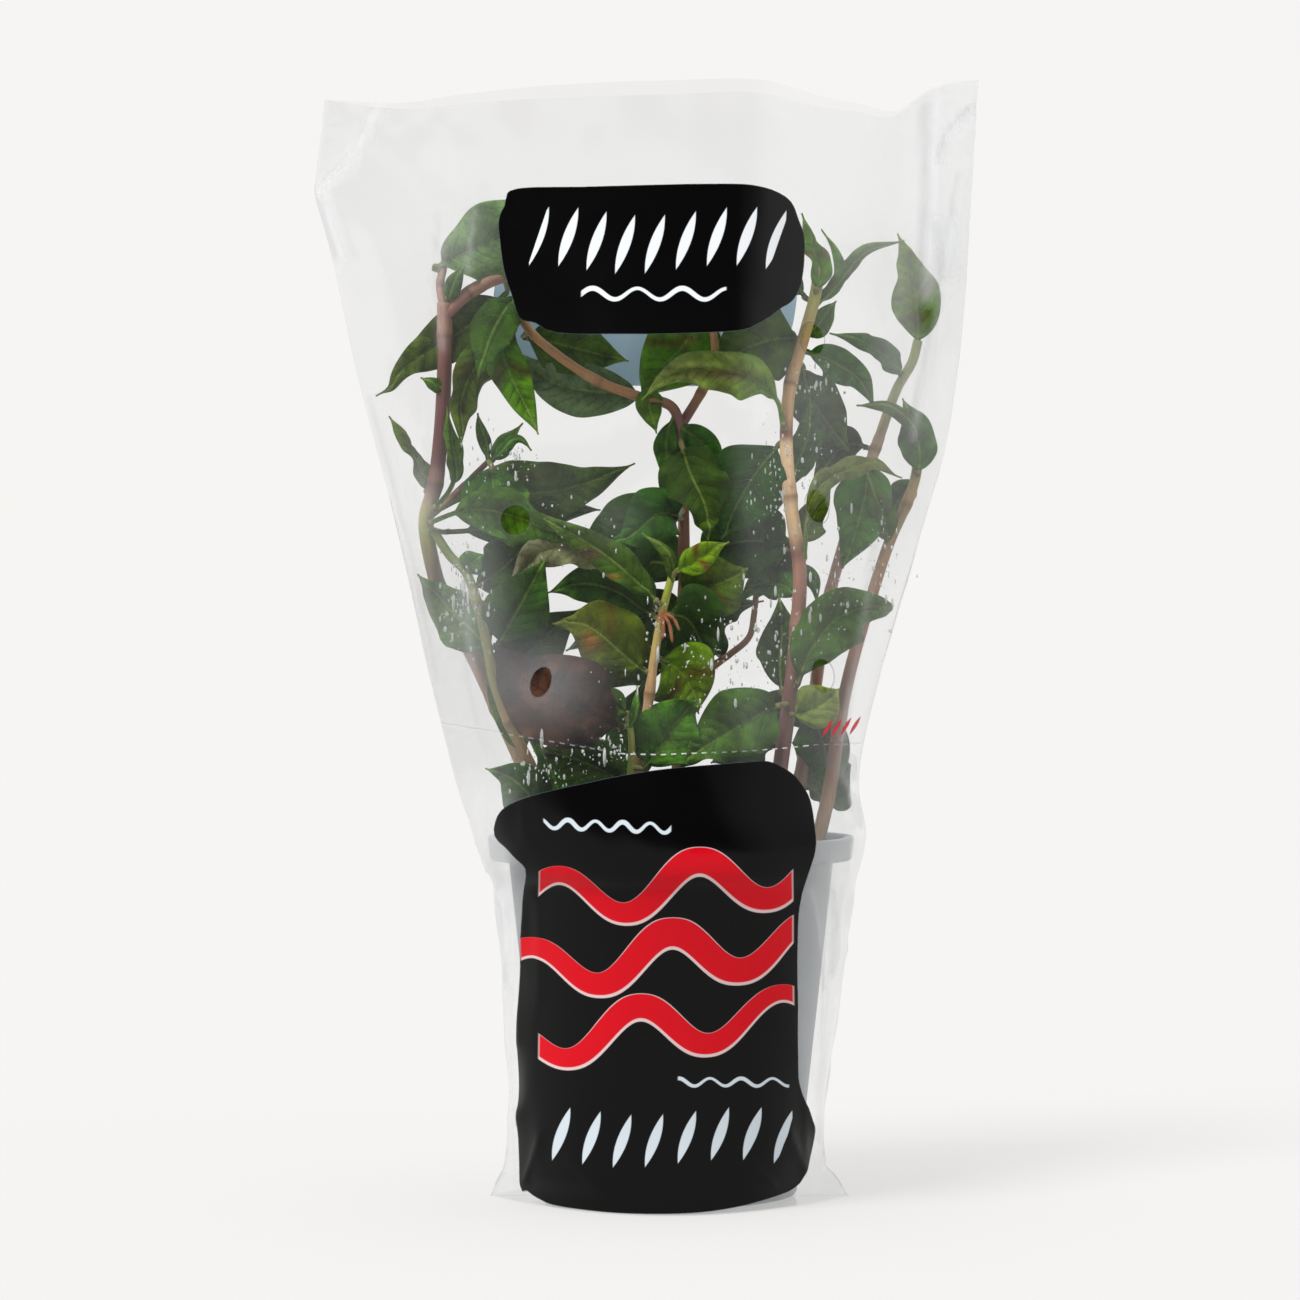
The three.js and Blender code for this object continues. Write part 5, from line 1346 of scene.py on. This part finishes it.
# Where the film is milkier (positive amount) or clearer (negative): partly fogged by breath, partly painted
# sheen. Middle, reach in both directions, amount.
FOG_AND_SHEEN = [
    (-68, 280, 14, 15, 0.1), (-73, 202, 6, 12, 0.085), (-60, 168, 10, 26, 0.072), (-37, 149, 14, 12, 0.068),
    (-36, 206, 18, 14, 0.016), (40, 230, 12, 15, 0.02), (56, 272, 10, 13, 0.065), (50, 116, 8, 22, 0.02),
    (75, 256, 5, 9, -0.1), (6, 136, 20, 9, 0.01), (-15, 196, 8, 7, 0.02), (53, 167, 11, 8, -0.022),
    (-51, 90, 6, 22, 0.26), (47, 88, 8, 18, 0.1),
]
TEAR_LINE = np.array([
    (-67, 137.2), (-50, 134.3), (-36, 132), (-14, 128.2), (-3, 127.9), (22, 129), (30, 129.6), (42, 130.8),
    (50, 131),
])
VENTS = [(-45.2, 196, 4.4, 4.4, 0), (-37.7, 149, 2.9, 4.6, -20), (40.9, 248.5, 3.4, 4.8, 12),
         (42.3, 199.8, 3.2, 4.9, 16), (43.8, 151, 3.3, 4.8, 10)]
print("creases:", len(CREASES), "streaks:", len(FOLD_HIGHLIGHTS), "vent holes:", len(VENTS))

# %% How far the film stands out of its smooth form


def line_distance(across, up, line):
    """Distance of points from a line of straight pieces."""
    best = np.full(across.shape, np.inf)
    for (x0, z0), (x1, z1) in zip(line, line[1:]):
        dx, dz = x1 - x0, z1 - z0
        t = np.clip(((across - x0) * dx + (up - z0) * dz) / (dx * dx + dz * dz), 0, 1)
        best = np.minimum(best, np.hypot(across - x0 - t * dx, up - z0 - t * dz))
    return best


def crumple(across, up, side):
    """How far the film stands out of its smooth form, in millimetres."""
    out = 0 * across
    for height, width, line in CREASES:
        shift = 0 if side < 0 else 3
        out += height * np.exp(-line_distance(across + shift, up, line) / width)
    bend = noise(across / 16 + 30, up / 70 + 5, 21 + side) - 0.4
    dents = noise(across / 9 + up / 25 + 40, up / 22, 31 + side) - 0.4
    low = 1 - ease((up - 84) / 40)
    high = ease((up - 240) / 60)
    fold = np.abs(noise(across / 4.5 + 60, up / 16 + 9, 41 + side) - 0.5)
    outer_third = ease((np.abs(across) - 34) / 12)
    out += 0.9 * bend + 0.5 * dents
    out += low * outer_third * (1.0 - 2.4 * fold) + 0.5 * high * (0.5 - fold)
    top = np.abs(noise(across / 3 + 70, up / 5 + 3, 51) - 0.5)
    out += 0.7 * ease((up - 296) / 18) * ease((np.abs(across) - 55) / 25) * (0.6 - 2 * top)
    return np.maximum(out, -0.35)


print("a crease stands out", round(float(crumple(np.array(77.0), np.array(285.0), -1)), 2), "mm")

# %% Outlines of the print
LABEL = [
    (-45, 292), (-20.6, 292.6), (14, 293.5), (26, 292.6), (34, 288.8), (36.8, 283), (38.5, 277),
    (38, 266.5), (35.4, 260), (31.3, 257.2), (26, 253.5), (15.7, 250.6), (-29, 250), (-39.4, 253.2),
    (-43.8, 254.6), (-46.1, 261), (-48.4, 268.5), (-49.6, 277.3), (-49.9, 283.3), (-48.1, 287.4),
]
PANEL = [
    (-50.7, 107.6), (-48.1, 112.5), (-39.4, 116.3), (-20.6, 120.6), (-6, 123.2), (8.4, 124.7), (23, 125.9),
    (28.7, 125.9), (34.5, 123), (37.4, 120), (40.3, 114.8), (41.5, 106), (41.5, 100.3), (38.9, 91.6),
    (37.4, 85.8), (36.5, 75.7), (36.5, 39.4), (37.4, 30.7), (39.7, 23.5), (40.9, 16.2), (38.3, 6.1),
    (36, 2.6), (31.6, 0.4), (20, -3), (5.5, -5), (-14.8, -5), (-32.2, -3), (-38, -1), (-41.5, 1.7),
    (-43.2, 6.1), (-43.5, 56.8), (-42.3, 85.8), (-41.8, 94.5), (-43.8, 97.4), (-47.3, 100.9), (-50.2, 103.8),
]


def rounded(outline, per_corner=6):
    """A closed smooth line through the corners of an outline."""
    p0, p1, p2, p3 = (np.roll(np.array(outline, float), 1 - k, 0) for k in range(4))
    return np.concatenate([spans(b, c, (c - a) / 2, (d - b) / 2, per_corner)
                           for a, b, c, d in zip(p0, p1, p2, p3)])


print("corners of label and panel:", len(LABEL), len(PANEL))

# %% How milky and how dark the film is


def film_veil(across, up):
    """How milky the film looks: clear in the middle, whiter towards both folds and near the mouth. The
    whitening is partly painted sheen, and along the folds it is painted highlights.
    """
    tall = ease((up - 205) / 45)
    left = 0.01 * ease((-42 - across) / 12)
    # painted sheen on the right part, where the sheet turns towards the bright right side
    right_sheen = 0.015 * ease((up - 126) / 14) * (1 - 0.55 * ease((up - 232) / 16))
    right = right_sheen * ease((across - 12) / 12) + 0.014 * ease((across - 30) / 14)
    out = 0.001 + left + right + (0.012 + 0.065 * tall) * ease((across - 52) / 14)
    for x, z, reach_x, reach_z, amount in FOG_AND_SHEEN:
        out = out + amount * spot(across, up, x, z, reach_x, reach_z)
    for amount, width, line in FOLD_HIGHLIGHTS:
        out = out + amount * np.exp(-(line_distance(across, up, line) / width) ** 2)
    return np.maximum(out, 0)


def film_shade(across, up):
    """Painted shade: how much darker than clear the film looks, low at the left and in a thin line beside
    each fold.
    """
    low = ease((-38 - across) / 12) * ease((up - 112) / 16) * ease((200 - up) / 30)
    out = 0.035 * low
    for amount, width, line in FOLD_HIGHLIGHTS:
        away = line_distance(across + 1.1 * width, up, line)
        out = out + 0.5 * min(amount, 0.1) * np.exp(-(away / (0.5 * width)) ** 2)
    return out


def inside_distance(across, up, outline):
    """Distance from a closed outline, positive inside."""
    line = rounded(outline)
    closed = np.concatenate([line, line[:1]])
    far = line_distance(across, up, closed.tolist())
    inside = np.zeros(across.shape, bool)
    for (x0, z0), (x1, z1) in zip(closed, closed[1:]):
        if z0 != z1:
            inside ^= ((z0 > up) != (z1 > up)) & (across < x0 + (up - z0) * (x1 - x0) / (z1 - z0))
    return np.where(inside, far, -far)


# %% The film as a mesh
FILM_THICKNESS = 0.16
FOOT_UP, FOOT_OVER, FOOT_LAYERS = 26, 10, 2.4  # below this the film is creased and counts as doubled
BACK_SHEET = 500.0  # a height over the tear line that no point of the front sheet reaches
FRONT_COLUMNS, BACK_COLUMNS, BASE_ROWS, FOOT_ROWS, SHEET_ROWS = 124, 76, 18, 14, 170
FOOT_HEIGHT, FIRST_SHEET_ROW, FOLD_TAPER = 12, 13.5, 1.2
BACK_LABEL_DROP, BACK_LABEL_SHIFT = 15, -12.8


def make_film():
    """The base and both sheets as one grid of rings: outer = smooth form + normal * crumple, and
    inner = outer - normal * thickness. The thickness tapers off where the sheets meet in a fold."""
    spread_out = lambda t: 0.45 * t + 0.55 * np.sin(math.pi * t / 2)  # denser near both folds
    front = spread_out(np.linspace(-1, 1, FRONT_COLUMNS, endpoint=False))
    back = spread_out(np.linspace(1, -1, BACK_COLUMNS, endpoint=False))
    share = np.concatenate([front, back])[None, :]
    side = np.concatenate([np.full(FRONT_COLUMNS, -1.0), np.ones(BACK_COLUMNS)])[None, :]
    foot = np.linspace(0, FOOT_HEIGHT, FOOT_ROWS)
    up = np.concatenate([foot, np.linspace(FIRST_SHEET_ROW, MOUTH, SHEET_ROWS)])[:, None]
    centre, half = section(up)[:2]
    x, z = centre + half * share, up + 0 * share
    is_front = (side < 0) & (np.abs(share) < 0.97) & (up > 0)
    x, z, gone = punch(x, z, [(*vent, is_front) for vent in on_sheet(VENTS)])
    wall = sheet_point(x, z, side)
    base = wall[0][None] * np.linspace(0.03, 1, BASE_ROWS, endpoint=False)[:, None, None]
    outer = np.concatenate([base, wall])
    gone = np.concatenate([np.zeros((BASE_ROWS, gone.shape[1]), bool), gone])

    along = np.gradient(outer, axis=0)
    around = (np.roll(outer, -1, 1) - np.roll(outer, 1, 1)) / 2
    normal = np.cross(around, along)
    normal /= np.maximum(np.linalg.norm(normal, axis=-1), 1e-9)[..., None]
    across, height = seen(outer)
    amount = np.where(side < 0, crumple(across, height, -1), crumple(across, height, 1))
    amount[:BASE_ROWS] = 0
    amount *= ease(outer[..., 2] / 6)
    outer = outer + normal * amount[..., None]
    room = np.abs(outer[..., 1] - middle_depth(outer[..., 2], outer[..., 0]))
    layers = FOOT_LAYERS - (FOOT_LAYERS - 1) * ease((height - FOOT_UP) / FOOT_OVER)
    thickness = FILM_THICKNESS * layers * (0.15 + 0.85 * ease(room / FOLD_TAPER))
    inner = outer - normal * thickness[..., None]

    label = np.maximum(inside_distance(across, height, LABEL), inside_distance(across, height, PANEL))
    mirrored = -(across - BACK_LABEL_SHIFT)
    lifted = height + BACK_LABEL_DROP
    rear = inside_distance(mirrored, lifted, LABEL)
    ink = np.where(side < 0, label, rear)
    ink[:BASE_ROWS] = np.where(side < 0, inside_distance(across[:BASE_ROWS], height[:BASE_ROWS], PANEL), -20)
    tear = np.where(side < 0, height - np.interp(across, TEAR_LINE[:, 0], TEAR_LINE[:, 1]), BACK_SHEET)
    print_map = np.stack([np.where(side < 0, across, mirrored), np.where(side < 0, height, lifted)], -1)
    haze_and_highlights, shade = film_veil(across, height), film_shade(across, height)
    values = {}
    for name, value in (("print", print_map), ("ink", ink), ("tear", tear), ("haze_and_highlights", haze_and_highlights),
                        ("shade", shade)):
        flat = value.reshape(-1, *value.shape[2:])
        with_pole = np.concatenate([flat, flat[:1]])
        values[name] = np.concatenate([with_pole, with_pole])
    size = len(with_pole)
    values["inner"] = np.concatenate([np.zeros(size), np.ones(size)])
    points, faces = shell(outer, inner, gone)
    return make_piece("film_sleeve", points, faces, values, crisp=60)


def on_front(across, up):
    """Where a place given as seen lies on the front sheet: x, y and z, and how much larger it is there."""
    depth = float(middle_depth(np.array(up), np.array(across)) - half_depth(np.array(up), np.array(across)))
    spread = (AWAY + depth) / AWAY
    return EYE[0] + (across - EYE[0]) * spread, depth, EYE[2] + (up - EYE[2]) * spread, spread


def on_sheet(vents):
    """The holes are given as seen; this brings them to the sheet's own across and height."""
    placed = []
    for across, up, radius_across, radius_up, tilt in vents:
        x, _, z, spread = on_front(across, up)
        placed.append((x, z, radius_across * spread, radius_up * spread, tilt))
    return placed


film = make_film()
print("film:", len(film.data.polygons), "faces")

# %% [markdown]
# ## Print and film as one material
# The print is ink on the film: a black label above, a black panel over the pot, and on them a pattern
# of loose brush strokes in white, red and pale grey. It carries no words. A brush wave is a sine; the
# distance from it, divided by its slope's length, gives a stroke of even width. The film lets most
# light through, takes on a faint white veil, and mirrors its surroundings more the flatter one looks
# along it. Painted highlights whiten its folds and the slits of its tear line, and painted shade
# darkens it beside the folds, along its cut edges and low at the left. Seen from inside the bag, the
# ink is grey-blue.

# %% Brush marks


def wave(across, up, centre, height, period, thick, start, end, phase=0.0, rise=0.0):
    """A brush wave: 1 on the stroke, 0 beside it."""
    turn = across * (2 * math.pi / period) + phase
    slope = turn.maths("COSINE", turn) * (height * 2 * math.pi / period) + rise
    steepness = slope * slope + 1
    away = abs(up - centre - across * rise - turn.sine() * height) / turn.maths("SQRT", steepness)
    width = turn.maths("SINE", turn * 0.5 + 0.6) * (0.22 * thick) + thick
    stroke = (away - width).step(0.14, -0.14)
    return stroke * across.step(start - 0.3, start + 0.3) * across.step(end + 0.3, end - 0.3)


def strokes(across, up, centre, reach, spacing, thick, start, end, lean=0.34):
    """A row of leaning brush strokes, thick in the middle and drawn out at both ends."""
    leaned = across - (up - centre) * lean
    number = leaned / spacing
    off = abs(number.wrapped() - 0.5) * (spacing * math.cos(math.atan(lean)))
    jitter = number.maths("FLOOR", number).sine()
    share = abs(up - centre - jitter * (0.16 * reach)) / reach
    width = (share * share) * -thick + thick
    stroke = (off - width).step(0.14, -0.14)
    return stroke * leaned.step(start - 0.1, start + 0.1) * leaned.step(end + 0.1, end - 0.1)


def vent_edges(across, up):
    """1 on the cut edge of each vent hole: the place where an ellipse's measure is one."""
    out = 0
    for x, z, reach_x, reach_z, tilt in VENTS:
        a = math.radians(tilt)
        u = (across - x) * (math.cos(a) / reach_x) + (up - z) * (math.sin(a) / reach_x)
        v = (up - z) * (math.cos(a) / reach_z) - (across - x) * (math.sin(a) / reach_z)
        out = out + abs(u.maths("SQRT", u * u + v * v) - 1.03).step(0.07, 0.02)
    return out


# %% The colours of the print


def most_of(first, *others):
    """The greatest of several wires."""
    for other in others:
        first = first.most(other)
    return first


#  middle, thickness, from, phase
RED_WAVES = ((90, 3.1, -38, 0.4), (70, 3.4, -43, 1.6), (49.5, 2.9, -38, 3.0))
RED_SHAPE = dict(height=6.5, period=41, rise=0.1)
RED_END, RIM = 35, 0.45  # where the red waves end, and how much wider their pale rim is


def print_ink(paint, across, up, inner):
    """The colour of the ink: black, and on it the strokes and waves."""
    white = most_of(strokes(across, up, 277, 8.4, 8.6, 1.5, -39, 31),
                    wave(across, up, 261.5, 1.6, 13, 0.6, -26, 16))
    pale = most_of(strokes(across, up, 17, 7.6, 9.2, 1.5, -34, 33),
                   wave(across, up, 33, 1.1, 9, 0.45, 2, 34),
                   wave(across, up, 106.5, 1.3, 8, 0.55, -37, 0, rise=-0.04))
    red = most_of(*(wave(across, up, middle, thick=thick, start=start, end=RED_END, phase=phase, **RED_SHAPE)
                    for middle, thick, start, phase in RED_WAVES))
    rim = most_of(*(wave(across, up, middle - 0.4, thick=thick + RIM, start=max(start - 0.2, -43),
                         end=RED_END + 0.3, phase=phase, **RED_SHAPE)
                    for middle, thick, start, phase in RED_WAVES))
    ink = rgb(7, 6, 6)
    for mask, colour in ((rim, rgb(216, 190, 190)), (red, rgb(208, 6, 26)), (pale, rgb(204, 214, 221)),
                         (white, rgb(232, 236, 240)), (inner, rgb(174, 202, 222))):
        ink = paint.blend(mask, ink, colour)
    return ink


print("red waves:", len(RED_WAVES))

# %% The film as a material


def film_material():
    """Mostly clear, with a milky white where the film is fogged and painted highlights along its folds and
    slits, painted shade along folds, cuts and vent edges, and a gleam that grows towards grazing views. The
    ink covers all of it."""
    paint = Paint("film")
    across, up = paint.map("print")
    inked = paint.number("ink").step(-0.14, 0.14)
    tear = paint.number("tear")
    inner = paint.number("inner").step(0.4, 0.6)
    haze_and_highlights, shade = paint.number("haze_and_highlights"), paint.number("shade")
    ink = print_ink(paint, across, up, inner)
    # The slits of the tear line are white with painted highlights, brighter in two lit stretches.
    dash = (across * 0.34).wrapped().step(0.55, 0.45) * abs(tear).step(0.26, 0.12)
    lit = abs(across + 2).step(14, 11).most(abs(across - 34).step(8, 6))
    slit_glint = dash * (lit * 0.26 + 0.1)
    edge = vent_edges(across, up) * tear.step(BACK_SHEET - 99, BACK_SHEET - 101)
    mark = strokes(across, up, 136, 2.6, 2.6, 0.45, 45, 54, 0.6) * abs(tear).step(20, 19)
    opaque = inked.most(mark)
    ink = paint.blend(mark * (1 - inked), ink, rgb(214, 44, 50))

    facing = paint.node("ShaderNodeLayerWeight", None, {"Blend": 0.5}, output=1)
    clear = paint.node("ShaderNodeBsdfTransparent", None, {"Color": (0.985, 0.986, 0.987, 1)})
    # This milky white also carries the painted fold highlights and the painted glints of the slits.
    white_haze_and_highlights = paint.shader(rgb(246, 247, 248), 1.0, Specular_IOR_Level=0.0)
    gloss = paint.node("ShaderNodeBsdfGlossy", None, {"Color": (1, 1, 1, 1), "Roughness": 0.09})
    # Painted shade: dark grey mixed in low at the left, beside the fold highlights, on the cut edges of the
    # vents and along the tear line.
    painted_shade = paint.shader(rgb(84, 88, 92), 1.0, Specular_IOR_Level=0.0)
    body = paint.mix((haze_and_highlights + slit_glint).least(1.0), clear, white_haze_and_highlights)
    body = paint.mix((shade + edge * 0.22 + abs(tear - 0.3).step(0.3, 0.1) * 0.08).least(1.0), body, painted_shade)
    body = paint.mix(facing ** 5 * 0.75 + 0.022, body, gloss)
    printed = paint.mix(up.step(140, 160), paint.shader(ink, 0.16, Specular_IOR_Level=0.13),
                        paint.shader(ink, 0.14, Specular_IOR_Level=0.3))
    return paint.finish(paint.mix(opaque, body, printed))


finish_piece(film, film_material(), "film", "sleeve")
print("film material:", len(film.data.materials[0].node_tree.nodes), "nodes")

# %% [markdown]
# ## Moisture
# Herbs are packed damp, and the water they breathe out settles on the inside of the film as beads.
# Each bead is a low dome on the inner skin of the front sheet. They lie in a few clusters, most of
# them tiny.

# %% Beads of moisture
#  across, up, reach in both, number
CLUSTERS = [
    (30, 206, 6, 18, 90), (41, 208, 6, 14, 50), (47, 180, 8, 16, 60), (61, 184, 6, 12, 60),
    (33, 165, 14, 14, 80), (-60, 173, 6, 12, 150), (-45, 214, 6, 5, 30), (14, 158, 14, 10, 90),
    (-17.5, 130, 5, 4, 50), (-35, 124, 11, 7, 70), (-30, 192, 18, 12, 30), (42, 236, 8, 8, 50),
    (-4, 166, 3, 6, 24), (4, 148, 26, 8, 50), (-54, 206, 12, 16, 40),
]
BEAD_LEAST, BEAD_SPREAD, BEAD_MOST = 0.11, 0.09, 0.5  # radii
BEAD_DRAWN, RUNNING_FROM = 6, 0.14  # a bead larger than this runs down, up to so many times its width
VENT_CLEAR = 6.5  # no bead lies nearer to the middle of a vent hole


def bead(radius, drawn):
    """A dome of three rings and a top, standing on its flat side along y, drawn out downwards."""
    turn = np.linspace(0, 2 * math.pi, 10, endpoint=False)
    rings = []
    for lean in (0.0, 0.5, 1.0):
        r, h = radius * math.cos(lean), 0.55 * radius * math.sin(lean)
        rings.append(np.stack([r * np.cos(turn), 0 * turn + h, -drawn * r * np.sin(turn)], -1))
    return skin(np.array(rings))


def make_beads():
    """Beads drawn at random around the middle of each cluster, set on the inner skin."""
    rng = np.random.default_rng(12)
    pile = Pile()
    for middle_x, middle_z, reach_x, reach_z, count in CLUSTERS:
        for _ in range(count):
            across = middle_x + reach_x * rng.normal() * 0.6
            up = middle_z + reach_z * rng.normal() * 0.6
            radius = min(BEAD_LEAST + rng.exponential(BEAD_SPREAD), BEAD_MOST)
            drawn = 1 + rng.exponential(1.2) * (radius > RUNNING_FROM)
            if any(math.hypot(across - v[0], up - v[1]) < VENT_CLEAR for v in VENTS):
                continue
            x, depth, z, _ = on_front(across, up)
            lift = float(crumple(np.array(across), np.array(up), -1))
            points, faces = bead(radius, min(drawn, BEAD_DRAWN))
            pile.add(points + [x, depth - lift + FILM_THICKNESS + 0.1, z], faces)
    return pile.mesh("moisture")


paint = Paint("moisture")
water = paint.node("ShaderNodeBsdfGlass", None, {"Color": (1, 1, 1, 1), "Roughness": 0.0, "IOR": 1.33})
# About a third of each bead is plain white: painted glints, where the beads shine in the light.
water = paint.mix(0.35, water, paint.shader(rgb(236, 242, 236), 0.1))
finish_piece(make_beads(), paint.finish(water), "film")
print("clusters of beads:", len(CLUSTERS))

# %% [markdown]
# ## Light and ground
# The object stands on a plain pale ground in soft light from above and from both sides, while it is
# darker behind the camera; that is why the middle of the film looks clear and its sides and its swept
# right half shine. The light comes from all around, so it is painted on the sky by direction, and the
# ground gets the same light everywhere. The camera sees a plain pale backdrop in its place.

# %% Light and ground
BACKDROP = rgb(246, 245, 243)
GROUND = (0.487, 0.482, 0.474, 1)  # so that it looks like the backdrop in this light
SKY_SIDES, FRONT_DARKER, SKY_TOP = 0.72, 0.68, 1.0
FRONT_X, FRONT_Y = -0.178, -0.984  # the direction in which the sky is darkest, behind the camera
#  azimuth, height, where its edge begins and ends, strength
SOFT_SPOTS = ((-38, 1.3, 0.7, 0.98, 0.22), (60, 0.5, 0.82, 0.99, 0.05))


def make_light():
    """Paints the sky by direction, white for the camera's own rays."""
    bpy.context.scene.world = bpy.data.worlds.new("studio")
    paint = Paint("studio", bpy.context.scene.world)
    direction = paint.node("ShaderNodeTexCoord", output="Generated")
    x, y, z = (paint.node("ShaderNodeSeparateXYZ", None, {0: direction}, output=k) for k in range(3))
    front = (y * FRONT_Y + x * FRONT_X).step(0.3, 0.78)
    sky = SKY_SIDES - front * FRONT_DARKER
    for azimuth, height, low, high, power in SOFT_SPOTS:
        a = math.radians(azimuth)
        to = Vector((math.sin(a), -math.cos(a), height)).normalized()
        sky = sky + (x * to.x + y * to.y + z * to.z).step(low, high) * power
    sky = sky + z.step(0.5, 0.8) * SKY_TOP
    light = paint.node("ShaderNodeBackground", None, {"Color": (1, 1, 1, 1), "Strength": sky})
    backdrop = paint.node("ShaderNodeBackground", None, {"Color": BACKDROP, "Strength": 1.0})
    by_camera = paint.node("ShaderNodeLightPath", output="Is Camera Ray")
    paint.finish(paint.mix(by_camera, light, backdrop), "ShaderNodeOutputWorld")


def make_key(azimuth=-44, height=52, spread=24, power=2.7):
    """A soft lamp high at the left. The film doesn't mirror it, which keeps its gleams broad."""
    lamp = bpy.data.lights.new("key", "SUN")
    lamp.energy, lamp.angle = power, math.radians(spread)
    ob = bpy.data.objects.new("key", lamp)
    ob.rotation_euler = (math.radians(90 - height), 0, math.radians(azimuth))
    ob.visible_glossy = False
    bpy.context.scene.collection.objects.link(ob)


def make_ground(reach=60):
    mesh = bpy.data.meshes.new("ground")
    corners = [(-reach, -reach, 0), (reach, -reach, 0), (reach, reach, 0), (-reach, reach, 0)]
    mesh.from_pydata(corners, [], [(0, 1, 2, 3)])
    ob = bpy.data.objects.new("ground", mesh)
    bpy.context.scene.collection.objects.link(ob)
    paint = Paint("ground")
    matte = paint.shader(GROUND, 1.0, Specular_IOR_Level=0.0)
    glow = paint.node("ShaderNodeEmission", None, {"Color": BACKDROP, "Strength": 1.0})
    mesh.materials.append(paint.finish(paint.mix(0.6, matte, glow)))


make_light()
make_key()
make_ground()
bpy.context.scene.view_settings.view_transform = "Standard"
print("soft spots in the sky:", len(SOFT_SPOTS))
